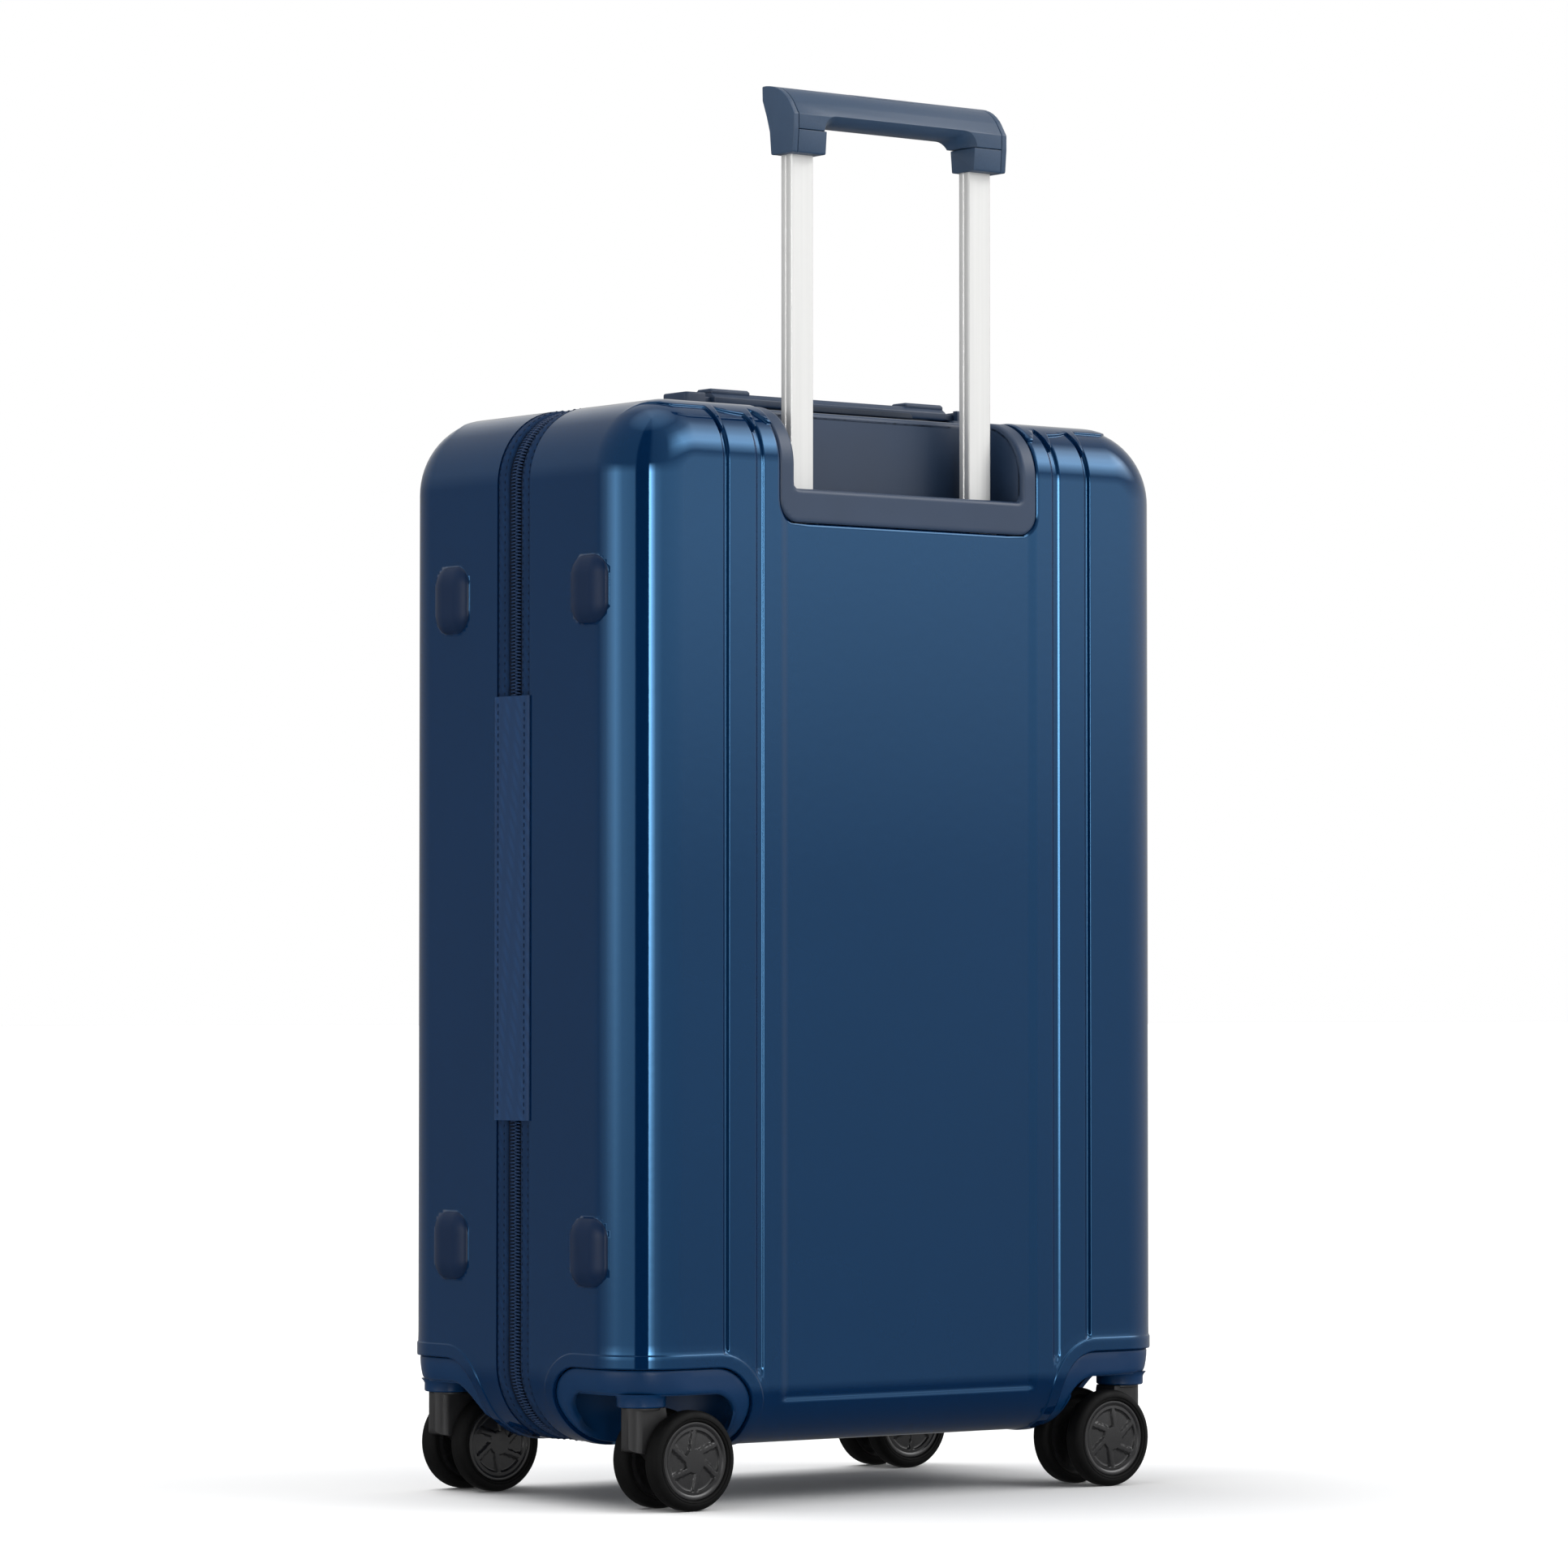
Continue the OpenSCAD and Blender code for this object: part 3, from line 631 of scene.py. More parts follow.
def contour_levels(side):
    """Every line that the skin's mesh has to follow for its offsets to come out crisp."""
    levels = []
    for height in (1.2, STRIP_H, STRIP_H + 0.6, STRIP_H + 1.2, STRIP_H + 4, STRIP_H + 7):
        levels.append(lambda p, h=height: housing_distance(p) - h)
    for degrees in (-1.2, -0.6, 0.0, 0.65, 1.3):
        levels.append(lambda p, d=degrees: top_step(p) - d)
    for inset in (0.0, 0.25, 0.8, 1.7, 3.0, FOOT_EDGE):
        levels.append(lambda p, i=inset: foot_distance(p, side) + i)
    if side > 0:
        for distance in (0.9, 1.7, 2.6):
            levels.append(lambda p, d=distance: bezel_distance(p) - d)
    return levels


def graded(low, high, step):
    """Evenly spaced values from low to high, close to a step apart."""
    count = max(1, round((high - low) / step))
    return [low + (high - low) * i / count for i in range(count)]


def skin_columns():
    """Places across the width, fine over the grooves and coarse between them."""
    half = [0]
    half += graded(12, 92, 14)
    half += graded(92, 103, 1.1)
    for middle, reach, _, _ in GROOVES:
        half += graded(half[-1] + 2.5, middle - reach - 0.6, 3)
        half += [middle + reach * t for t in (-1.1, -0.95, -0.85, -0.72, -0.58, -0.42, -0.25, -0.1)]
        half += [middle + reach * t for t in (0.1, 0.25, 0.42, 0.58, 0.72, 0.85, 0.95, 1.1)]
    half += graded(half[-1] + 2.5, CORE_X, 4) + [CORE_X]
    return [-x for x in reversed(half[1:])] + half


def skin_rows():
    """Places up the height, fine near the housings and the bezel."""
    rows = graded(CORE_LOW, 108, 3)
    rows += graded(108, 130, 7)
    rows += graded(130, 178, 2.2)
    rows += graded(178, 525, 16)
    rows += graded(525, 573, 2.2)
    rows += graded(573, 588, 7)
    rows += graded(588, CORE_HIGH, 3.5)
    return rows + [CORE_HIGH]


def shell_holes(side):
    """Level functions, negative where the shell is open."""
    holes = [lambda p: housing_distance(p) - 0.35]
    if side > 0:
        holes.append(lambda p: bezel_distance(p) - 0.3)
        holes.append(lambda p: mount_hole(np.abs(p[:, 0]), p[:, 1] - TOP_MOUNT_Y, TOP - 60 - p[:, 2]))
        holes.append(lambda p: mount_hole(np.abs(p[:, 2] - MID_Z), p[:, 1] - SIDE_MOUNT_Y, p[:, 0] + 150))
    else:
        holes.append(lock_hole)
    return holes


MOUNT_BOX = corners("top_handle_mounts")
TOP_MOUNT_Y = (MOUNT_BOX[0][1] + MOUNT_BOX[1][1]) / 2
SIDE_MOUNT_Y = corners("side_handle_mounts")[0][1] + 12.5
LOCK_AT = (-38, 365)
LOCK_HALF = (11, 42)


def mount_hole(along, across, outside):
    """Distance outside the two openings for the end blocks of a carry handle."""
    return np.maximum(rect_distance(along, across, (94.8, -12.7), (115.2, 12.7), 1.5), outside)


def lock_hole(points):
    """Distance outside the opening for the lock in the front shell."""
    low = (LOCK_AT[0] - LOCK_HALF[0] - 0.15, LOCK_AT[1] - LOCK_HALF[1] - 0.15)
    high = (LOCK_AT[0] + LOCK_HALF[0] + 0.15, LOCK_AT[1] + LOCK_HALF[1] + 0.15)
    return np.maximum(rect_distance(points[:, 1], points[:, 2], low, high, 3), points[:, 0] + 150)


def make_shell(name, side, body):
    """One moulded shell: finished skin outside, the same form a wall thickness in, and a rim between."""
    band = abs(ZIP_Y + side * BAND)
    bm = skin_mesh(side, band, skin_columns(), skin_rows())
    for level in shell_holes(side):
        cut_hole(bm, level)
    for level in contour_levels(side):
        insert_contour(bm, level)
    bmesh.ops.remove_doubles(bm, verts=bm.verts, dist=0.03)
    bm.verts.index_update()
    base = bmesh_points(bm)
    normals = form_normals(base)
    offset = skin_offset(base, side)[:, None]
    outer = base + normals * offset
    inner = base + normals * (np.minimum(offset, 0.9) - WALL)
    count = len(base)
    faces = [[v.index for v in f.verts] for f in bm.faces]
    rim = rim_faces(bm)
    bm.free()
    insides = [[i + count for i in reversed(f)] for f in faces]
    piece = make_object(name + "_skin", np.vstack([outer, inner]), faces + insides + rim, "shell", 50)
    outer_normals = skin_normals(base, side)
    loops = [tuple(outer_normals[i]) for f in faces for i in f]
    loops += [tuple(-normals[i - count]) for f in insides for i in f]
    loops += [(0, 0, 0)] * (4 * len(rim))
    piece.data.normals_split_custom_set(loops)
    piece.data.materials.append(MATERIALS["foot"])
    on_foot = foot_distance(base, side) < 0.2
    for polygon, face in zip(piece.data.polygons, faces):
        polygon.material_index = int(all(on_foot[i] for i in face))
    return place(piece, body, "shell", name)


# ---- solids from sections ----

def rounded(points, radius, steps=5):
    """A closed outline with each corner rounded; radius is one value or one for each corner."""
    radii = radius if hasattr(radius, "__len__") else [radius] * len(points)
    outline = []
    for i, corner in enumerate(points):
        before = Vector(points[i - 1]) - Vector(corner)
        after = Vector(points[(i + 1) % len(points)]) - Vector(corner)
        half_angle = before.angle(after) / 2
        reach = min(radii[i] / math.tan(half_angle), before.length * 0.49, after.length * 0.49)
        if reach < 0.02 or half_angle > 1.55:
            outline.append(tuple(corner))
            continue
        size = reach * math.tan(half_angle)
        bisector = (before.normalized() + after.normalized()).normalized()
        centre = Vector(corner) + bisector * size / math.sin(half_angle)
        first = Vector(corner) + before.normalized() * reach - centre
        last = Vector(corner) + after.normalized() * reach - centre
        turn = first.angle_signed(last)
        for k in range(steps + 1):
            arm = first.copy()
            arm.rotate(Matrix.Rotation(-turn * k / steps, 2))
            outline.append(tuple(centre + arm))
    return outline


def axis_point(axis, along, a, b):
    """The point at a and b across an axis: Y and Z for X, X and Z for Y, X and Y for Z."""
    return {"x": (along, a, b), "y": (a, along, b), "z": (a, b, along)}[axis]


def loft_mesh(rings):
    """A closed solid through rings of points, all with the same count."""
    bm = bmesh.new()
    lines = [[bm.verts.new(point) for point in ring] for ring in rings]
    for first, second in zip(lines, lines[1:]):
        join_rings(bm, first, second)
    bm.faces.new(list(reversed(lines[0])))
    bm.faces.new(lines[-1])
    bmesh.ops.recalc_face_normals(bm, faces=bm.faces)
    return bm


def inset_outline(outline, distance):
    """An outline moved inwards by a distance, each point along the bisector of its sides."""
    area = sum(a[0] * b[1] - b[0] * a[1] for a, b in zip(outline, outline[1:] + outline[:1]))
    sign = 1 if area > 0 else -1
    moved = []
    for i, point in enumerate(outline):
        before = (Vector(point) - Vector(outline[i - 1])).normalized()
        after = (Vector(outline[(i + 1) % len(outline)]) - Vector(point)).normalized()
        inwards = Vector((-(before.y + after.y), before.x + after.x)) * sign
        share = max(0.35, (1 + before.dot(after)) / 2) ** 0.5
        moved.append(tuple(Vector(point) + inwards.normalized() * distance / share))
    return moved


def soft_prism(axis, outline, low, high, edge=0.8, steps=3):
    """A solid along an axis with its two end edges rounded."""
    angles = [math.pi / 2 * k / steps for k in range(steps + 1)]
    rings = []
    for end, inward, turns in ((low, edge, angles), (high, -edge, angles[::-1])):
        for a in turns:
            inner = inset_outline(outline, edge * (1 - math.sin(a)))
            rings.append([axis_point(axis, end + inward * (1 - math.cos(a)), *p) for p in inner])
    return loft_mesh(rings)


def rectangle(low_a, low_b, high_a, high_b):
    """The four corners of a rectangle, in order."""
    return [(low_a, low_b), (high_a, low_b), (high_a, high_b), (low_a, high_b)]


def soft_box(low, high, radius=1.5, edge=0.6, axis="z"):
    """A box whose edges along one axis have a radius and whose other edges are softened."""
    across = {"x": (1, 2), "y": (0, 2), "z": (0, 1)}[axis]
    along = {"x": 0, "y": 1, "z": 2}[axis]
    sides = rectangle(low[across[0]], low[across[1]], high[across[0]], high[across[1]])
    outline = rounded(sides, radius, 4)
    return soft_prism(axis, outline, low[along], high[along], edge)


def joined(meshes):
    """One bmesh that holds several, which are freed."""
    whole = bmesh.new()
    for bm in meshes:
        part = bpy.data.meshes.new("part")
        bm.to_mesh(part)
        bm.free()
        whole.from_mesh(part)
        bpy.data.meshes.remove(part)
    return whole


def turned(profile, segments=96, close=True):
    """A solid of revolution about Z from a profile of (radius, height)."""
    bm = bmesh.new()
    rings = []
    for radius, height in profile:
        if radius < 1e-6:
            rings.append([bm.verts.new((0, 0, height))])
            continue
        rings.append([bm.verts.new((radius * math.cos(2 * math.pi * i / segments),
                                    radius * math.sin(2 * math.pi * i / segments), height))
                      for i in range(segments)])
    pairs = list(zip(rings, rings[1:] + (rings[:1] if close else [])))
    for first, second in pairs:
        for i in range(segments):
            j = (i + 1) % segments
            if len(first) == 1 and len(second) == 1:
                continue
            if len(first) == 1:
                bm.faces.new((first[0], second[j], second[i]))
            elif len(second) == 1:
                bm.faces.new((first[i], first[j], second[0]))
            else:
                bm.faces.new((first[i], first[j], second[j], second[i]))
    bmesh.ops.recalc_face_normals(bm, faces=bm.faces)
    return bm


def finish_mesh(name, bm, material, sharp=40, scale_from=None):
    """Turns a bmesh in millimetres into a smooth object, and frees it."""
    if scale_from is not None:
        bm.transform(scale_from)
    if scale_from is not None and scale_from.determinant() < 0:
        bmesh.ops.reverse_faces(bm, faces=bm.faces)
    mesh = bpy.data.meshes.new(name)
    bm.transform(Matrix.Scale(MM, 4))
    bm.to_mesh(mesh)
    bm.free()
    mesh.materials.append(MATERIALS[material])
    mesh.shade_smooth()
    mesh.set_sharp_from_angle(angle=math.radians(sharp))
    piece = bpy.data.objects.new(name, mesh)
    bpy.context.scene.collection.objects.link(piece)
    return piece


def apply_modifiers(piece):
    """Replaces the mesh of a piece with what its modifiers make of it."""
    mesh = bpy.data.meshes.new_from_object(piece.evaluated_get(bpy.context.evaluated_depsgraph_get()))
    piece.modifiers.clear()
    piece.data = mesh
    return piece


def carve(piece, bm, operation="DIFFERENCE"):
    """Cuts a solid out of a piece, or joins it on."""
    tool = finish_mesh("tool", bm, "trim")
    change = piece.modifiers.new("carve", "BOOLEAN")
    change.operation = operation
    change.object = tool
    change.solver = "EXACT"
    apply_modifiers(piece)
    bpy.data.objects.remove(tool)
    return piece


def bevel(piece, width, segments=3, degrees=30, sharp=40):
    """Rounds a piece's sharp edges, in millimetres."""
    change = piece.modifiers.new("bevel", "BEVEL")
    change.width = width * MM
    change.segments = segments
    change.limit_method = "ANGLE"
    change.angle_limit = math.radians(degrees)
    change.harden_normals = False
    apply_modifiers(piece)
    piece.data.shade_smooth()
    piece.data.set_sharp_from_angle(angle=math.radians(sharp))
    return piece


def corner_matrix(sx, sy):
    """Moves a shape drawn at the rear hinge-side corner to another corner."""
    return Matrix.Diagonal((sx, sy, 1, 1))


# ---- zip, binding and hinge ----

def ring_sweep(profile, gap=None, spacing=12):
    """A band round the outline from a closed profile of (distance out, depth in Y), open over a gap in Z."""
    columns = graded(-CORE_X, CORE_X, spacing) + [CORE_X]
    rows = graded(CORE_LOW, CORE_HIGH, spacing) + [CORE_HIGH]
    bm = bmesh.new()
    rings = []
    for (x, z), (dx, dz) in ring_path(columns, rows, 14):
        rings.append([bm.verts.new((x + dx * out, y, z + dz * out)) for out, y in profile])
    for first, second in zip(rings, rings[1:] + rings[:1]):
        join_rings(bm, second, first)
    bmesh.ops.recalc_face_normals(bm, faces=bm.faces)
    if gap is not None:
        low, high = gap
        for z in gap:
            bmesh.ops.bisect_plane(bm, geom=bm.verts[:] + bm.edges[:] + bm.faces[:],
                                   plane_co=(CORE_X, 0, z), plane_no=(0, 0, 1))
        gone = [f for f in bm.faces
                if f.calc_center_median().x > CORE_X and low < f.calc_center_median().z < high]
        bmesh.ops.delete(bm, geom=gone, context="FACES")
        ends = [e for e in bm.edges if e.is_boundary]
        bmesh.ops.holes_fill(bm, edges=ends)
    return bm


def outline_points(spacing):
    """Points and outward directions at an even spacing round the case's outline."""
    straight_x, straight_z = 2 * CORE_X, CORE_HIGH - CORE_LOW
    arc = math.pi / 2 * OUTLINE_R
    lengths = [straight_x, arc, straight_z, arc, straight_x, arc, straight_z, arc]
    total = sum(lengths)
    count = round(total / spacing)
    found = []
    for i in range(count):
        at = total * i / count
        part = 0
        while at > lengths[part]:
            at -= lengths[part]
            part += 1
        side = part // 2
        share = at / lengths[part]
        corner = [(CORE_X, CORE_LOW), (CORE_X, CORE_HIGH), (-CORE_X, CORE_HIGH), (-CORE_X, CORE_LOW)]
        if part % 2 == 0:
            first, last = Vector(corner[side - 1]), Vector(corner[side])
            middle, angle = first.lerp(last, share), math.radians(-90 + 90 * side)
        else:
            middle, angle = Vector(corner[side]), math.radians(-90 + 90 * side + 90 * share)
        found.append((middle, Vector((math.cos(angle), math.sin(angle)))))
    return found


HINGE_BOX = corners("rear_hinge_leaf")
HINGE_LOW, HINGE_HIGH = HINGE_BOX[0][2], HINGE_BOX[1][2]
HINGE_HALF = HINGE_BOX[1][1] - ZIP_Y
COIL_PITCH = 2.1
STITCH_PITCH = 4.6
STITCH_LENGTH = 3.2


def binding_profile(side):
    """Piping that covers the shell's edge: crowned, with a stitched flat and a lip to the zip."""
    shape = [(43.5, 7.2), (46.4, 7.05), (47.3, 7.7), (47.75, 8.8), (47.95, 10.5), (48.0, 12.5),
             (47.95, 14.6), (47.6, 16.1), (46.9, 16.85), (43.5, 16.9)]
    return [(out - 0.15, ZIP_Y + side * y) for out, y in shape]


def tape_profile(side):
    """Zip tape: from under the binding to the coil, dipping below the binding's face."""
    shape = [(44.3, 3.2), (44.9, 3.1), (45.3, 4.6), (45.5, 6.2), (45.9, 8.0), (44.8, 8.0), (44.4, 6.2),
             (44.2, 4.6)]
    return [(out, ZIP_Y + side * y) for out, y in shape]


def bead(path, radius, sides=6):
    """A rounded thread along a short path of 3-D points, closed at both ends."""
    rings = []
    points = [Vector(p) for p in path]
    for i, point in enumerate(points):
        ahead = points[min(i + 1, len(points) - 1)] - points[max(i - 1, 0)]
        side = ahead.cross(Vector((0.3, 0.2, 1))).normalized()
        up = side.cross(ahead).normalized()
        size = radius * (0.45 if i in (0, len(points) - 1) else 1)
        rings.append([point + side * size * math.cos(2 * math.pi * k / sides)
                      + up * size * math.sin(2 * math.pi * k / sides) for k in range(sides)])
    return rings


def threads_mesh(paths, radius, sides=6):
    """Many short threads as one mesh."""
    points, faces = [], []
    for path in paths:
        rings = bead(path, radius, sides)
        first = len(points)
        points += [tuple(p) for ring in rings for p in ring]
        for i in range(len(rings) - 1):
            for k in range(sides):
                a, b = first + i * sides + k, first + i * sides + (k + 1) % sides
                faces.append((a, b, b + sides, a + sides))
        faces.append(tuple(first + k for k in reversed(range(sides))))
        faces.append(tuple(first + (len(rings) - 1) * sides + k for k in range(sides)))
    return points, faces


def under_hinge(middle, direction, margin=0):
    """Whether a point of the outline lies under the hinge strip."""
    return direction.x > 0.99 and HINGE_LOW + margin < middle.y < HINGE_HIGH - margin


def coil_paths(side):
    """One half of the coil: a bent loop of thread for each tooth, crossing just past the zip's middle."""
    paths = []
    shift = 0 if side > 0 else COIL_PITCH / 2
    for middle, out in outline_points(COIL_PITCH):
        along = Vector((-out.y, out.x))
        base = middle + along * shift
        if under_hinge(base, out, 6):
            continue
        shape = [(45.0, 4.6, -0.25), (46.1, 4.3, -0.2), (46.35, 2.2, 0.0), (46.2, 0.2, 0.1),
                 (45.6, -0.7, 0.15), (44.9, -0.3, 0.3), (44.6, 2.4, 0.5)]
        paths.append([((base + out * far + along * slip).x, ZIP_Y + side * y,
                       (base + out * far + along * slip).y) for far, y, slip in shape])
    return paths


def stitch_paths(side):
    """Stitches that hold the binding down, half sunk in its face, along both of its edges."""
    paths = []
    for middle, out in outline_points(STITCH_PITCH):
        along = Vector((-out.y, out.x)) * STITCH_LENGTH / 2
        for depth, lift in ((9.4, 47.72), (15.2, 47.68)):
            start, end = middle + out * (lift - 0.35) - along, middle + out * (lift - 0.35) + along
            top = middle + out * (lift + 0.15)
            y = ZIP_Y + side * depth
            rise_x, rise_z = (start * 0.7 + top * 0.3).x, (start * 0.6 + top * 0.4).y
            paths.append([(start.x, y, start.y), (rise_x, y, rise_z), (top.x, y, top.y), (end.x, y, end.y)])
    return paths


def make_zip(name, side, body):
    """Binding, tape, coil and stitching of one half."""
    hinge_gap = (HINGE_LOW + 6, HINGE_HIGH - 6)
    binding = finish_mesh(name + "_binding", ring_sweep(binding_profile(side)), "binding", 60)
    place(binding, body, "zip_tape", name)
    tape = finish_mesh(name + "_cloth", ring_sweep(tape_profile(side), hinge_gap), "tape", 60)
    place(tape, body, "zip_tape")
    coil = make_object(name + "_coil", *threads_mesh(coil_paths(side), 0.62), "coil", 70)
    place(coil, body, "zip_tape")
    threads = threads_mesh(stitch_paths(side), 0.34, 5)
    stitches = make_object(name + "_stitches", *threads, "thread", 70)
    place(stitches, body, "zip_tape")


HINGE_X = HALF_W + 1.7
HINGE_THICK = 1.5
HINGE_SEAM = 13.6


def hinge_mesh():
    """The strip's cloth as points and faces: crowned, pressed in along its seams, thin at its edges."""
    across = graded(-HINGE_HALF, HINGE_HALF, 1.5) + [HINGE_HALF]
    up = graded(HINGE_LOW, HINGE_HIGH, 6) + [HINGE_HIGH]
    points, faces = [], []
    for layer in (0, 1):
        for z in up:
            for y in across:
                crown = 0.35 * (1 - (y / HINGE_HALF) ** 2)
                crown -= 0.35 * math.exp(-(abs(y) - HINGE_SEAM) ** 2)
                edge = 0.5 * max(0, abs(y) - HINGE_HALF + 1.2) ** 2
                points.append((HINGE_X + crown - edge - layer * (HINGE_THICK - edge), ZIP_Y + y, z))
    width, height = len(across), len(up)
    layer_size = width * height
    for j in range(height - 1):
        for i in range(width - 1):
            a = j * width + i
            faces.append((a, a + 1, a + 1 + width, a + width))
            b = a + layer_size
            faces.append((b, b + width, b + 1 + width, b + 1))
    border = [i for i in range(width)] + [j * width + width - 1 for j in range(1, height)]
    border += [(height - 1) * width + i for i in reversed(range(width - 1))]
    border += [j * width for j in reversed(range(1, height - 1))]
    for a, b in zip(border, border[1:] + border[:1]):
        faces.append((b, a, a + layer_size, b + layer_size))
    return points, faces


def hinge_stitches(side):
    """The paths of the stitches along one edge of the strip."""
    length = HINGE_HIGH - HINGE_LOW - 6
    count = round(length / STITCH_PITCH)
    y = ZIP_Y + side * HINGE_SEAM
    paths = []
    for i in range(count):
        z = HINGE_LOW + 3 + (i + 0.5) * length / count
        paths.append([(HINGE_X - 0.5, y, z - STITCH_LENGTH / 2), (HINGE_X + 0.05, y, z - STITCH_LENGTH / 4),
                      (HINGE_X + 0.05, y, z + STITCH_LENGTH / 4), (HINGE_X - 0.5, y, z + STITCH_LENGTH / 2)])
    return paths


def make_hinge():
    """The flexible strip that joins the halves, sewn along both edges."""
    strip = make_object("hinge_strip", *hinge_mesh(), "hinge", 50)
    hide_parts("rear_hinge_leaf", "front_hinge_leaf")
    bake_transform(strip)
    for side, name in ((1, "rear"), (-1, "front")):
        threads = threads_mesh(hinge_stitches(side), 0.34, 5)
        seam = make_object(name + "_hinge_stitches", *threads, "thread", 70)
        place(seam, name + "_case", "hinge_strip")


# ---- casters ----

WHEEL_BOX = corners("tyre_outer_rear_hinge")
WHEEL_R = WHEEL_BOX[1][2] / 2
TYRE_W = WHEEL_BOX[1][1] - WHEEL_BOX[0][1]
AXLE_X = (WHEEL_BOX[0][0] + WHEEL_BOX[1][0]) / 2
OUTER_Y = (WHEEL_BOX[0][1] + WHEEL_BOX[1][1]) / 2
INNER_BOX = corners("tyre_inner_rear_hinge")
INNER_Y = (INNER_BOX[0][1] + INNER_BOX[1][1]) / 2
SWIVEL_Y = (OUTER_Y + INNER_Y) / 2
SWIVEL_X = AXLE_X + 24
HUB_R = 23.5
WELL_R = 58
WELL_TOP = 69
BOSS_LOW = 62
BOSS_R = 14.7


def pocket_level(x, y):
    """Negative inside the six swept pockets of a wheel's face."""
    radius = np.hypot(x, y)
    nearest = np.full(x.shape, 100.0)
    for k in range(6):
        a = math.pi / 3 * k + 0.35
        forward = x * math.cos(a) + y * math.sin(a)
        beside = -x * math.sin(a) + y * math.cos(a) - 3.4
        nearest = np.where(forward > 0, np.minimum(nearest, np.abs(beside)), nearest)
    return np.maximum.reduce([radius - 18.2, 7.2 - radius, 1.7 - nearest])


def hub_mesh():
    """Hub disc: a domed face with six pockets, a raised rim and an open back."""
    segments = 144
    bm = turned([(23.45, -5.5), (23.45, 4.9), (23.1, 5.4), (22.2, 5.55), (21.2, 5.4), (20.7, 5.05),
                 (20.3, 4.9)], segments, close=False)
    radii = [20.3, 19.4, 18.9, 18.5, 18.2, 17.9, 17.4, 16.6, 15.6, 14.5, 13.3, 12.1, 10.9, 9.7, 8.7, 7.9,
             7.4, 7.0, 6.4, 5.6, 4.4, 2.6]
    rings = []
    for radius in radii:
        angles = [2 * math.pi * i / segments for i in range(segments)]
        x = np.array([radius * math.cos(a) for a in angles])
        y = np.array([radius * math.sin(a) for a in angles])
        level = pocket_level(x, y)
        dome = 5.0 + 0.75 * (1 - (radius / 20.3) ** 2)
        height = dome - 1.3 * smooth(-level, -0.25, 0.55)
        rings.append([bm.verts.new(p) for p in zip(x, y, height)])
    centre = bm.verts.new((0, 0, 5.76))
    for first, second in zip(rings, rings[1:]):
        join_rings(bm, first, second)
    for i in range(segments):
        bm.faces.new((rings[-1][i], rings[-1][(i + 1) % segments], centre))
    back = turned([(23.45, -5.5), (20.5, -5.5), (20.5, -2.0), (7.0, -2.0), (7.0, -5.5), (3.4, -5.5),
                   (3.4, -2.0), (0, -2.0)], segments, close=False)
    whole = joined([bm, back])
    bmesh.ops.remove_doubles(whole, verts=whole.verts, dist=0.02)
    bmesh.ops.recalc_face_normals(whole, faces=whole.faces)
    return whole


def tyre_mesh():
    """Tyre: a flat tread with rounded shoulders and a bead line on each side."""
    half = TYRE_W / 2
    side = [(WHEEL_R, 0), (WHEEL_R, half - 3.6), (WHEEL_R - 0.25, half - 2.4), (WHEEL_R - 0.9, half - 1.3),
            (WHEEL_R - 1.9, half - 0.55), (WHEEL_R - 3.2, half - 0.12), (25.9, half), (25.6, half - 0.05),
            (25.4, half - 0.45), (25.1, half - 0.5), (24.8, half - 0.2), (24.0, half - 0.35),
            (HUB_R + 0.02, half - 1.0)]
    profile = side + [(r, -h) for r, h in reversed(side[1:])]
    return turned(profile, 128)


def make_wheels(corner, sx, sy):
    """Both wheels of one caster, each a hub with its tyre."""
    for which, y, outwards in (("outer", OUTER_Y, 1), ("inner", INNER_Y, -1)):
        where = corner_matrix(sx, sy) @ Matrix.Translation((AXLE_X, y, WHEEL_R))
        where = where @ Matrix.Rotation(math.radians(-90 * outwards), 4, "X")
        name = f"{which}_{corner}"
        body = "wheel_" + name
        hub = finish_mesh("hub_" + name + "_disc", hub_mesh(), "hub", 35, where)
        place(hub, body, "hub", "hub_" + name)
        tyre = finish_mesh("tyre_" + name + "_ring", tyre_mesh(), "tyre", 35, where)
        place(tyre, body, "tyre", "tyre_" + name)


FORK_TOP = BOSS_LOW - 0.3


def fork_collar():
    """Turned collar and kingpin over the fork's column."""
    top = FORK_TOP
    collar = turned([(0, top - 1.4), (11.4, top - 1.4), (11.7, top - 1.0), (11.7, top - 0.1),
                     (11.4, top + 0.1), (0, top + 0.1)], 64, close=False)
    pin = turned([(0, top), (4.9, top), (4.9, top + 17.5), (4.4, top + 18), (0, top + 18)], 32, close=False)
    whole = joined([collar, pin])
    whole.transform(Matrix.Translation((SWIVEL_X, SWIVEL_Y, 0)))
    return whole


def move_mesh(piece, where):
    """Moves a finished mesh by a matrix in millimetres, and turns its faces if that mirrors it."""
    piece.data.transform(Matrix.Scale(MM, 4) @ where @ Matrix.Scale(1 / MM, 4))
    if where.determinant() < 0:
        piece.data.flip_normals()


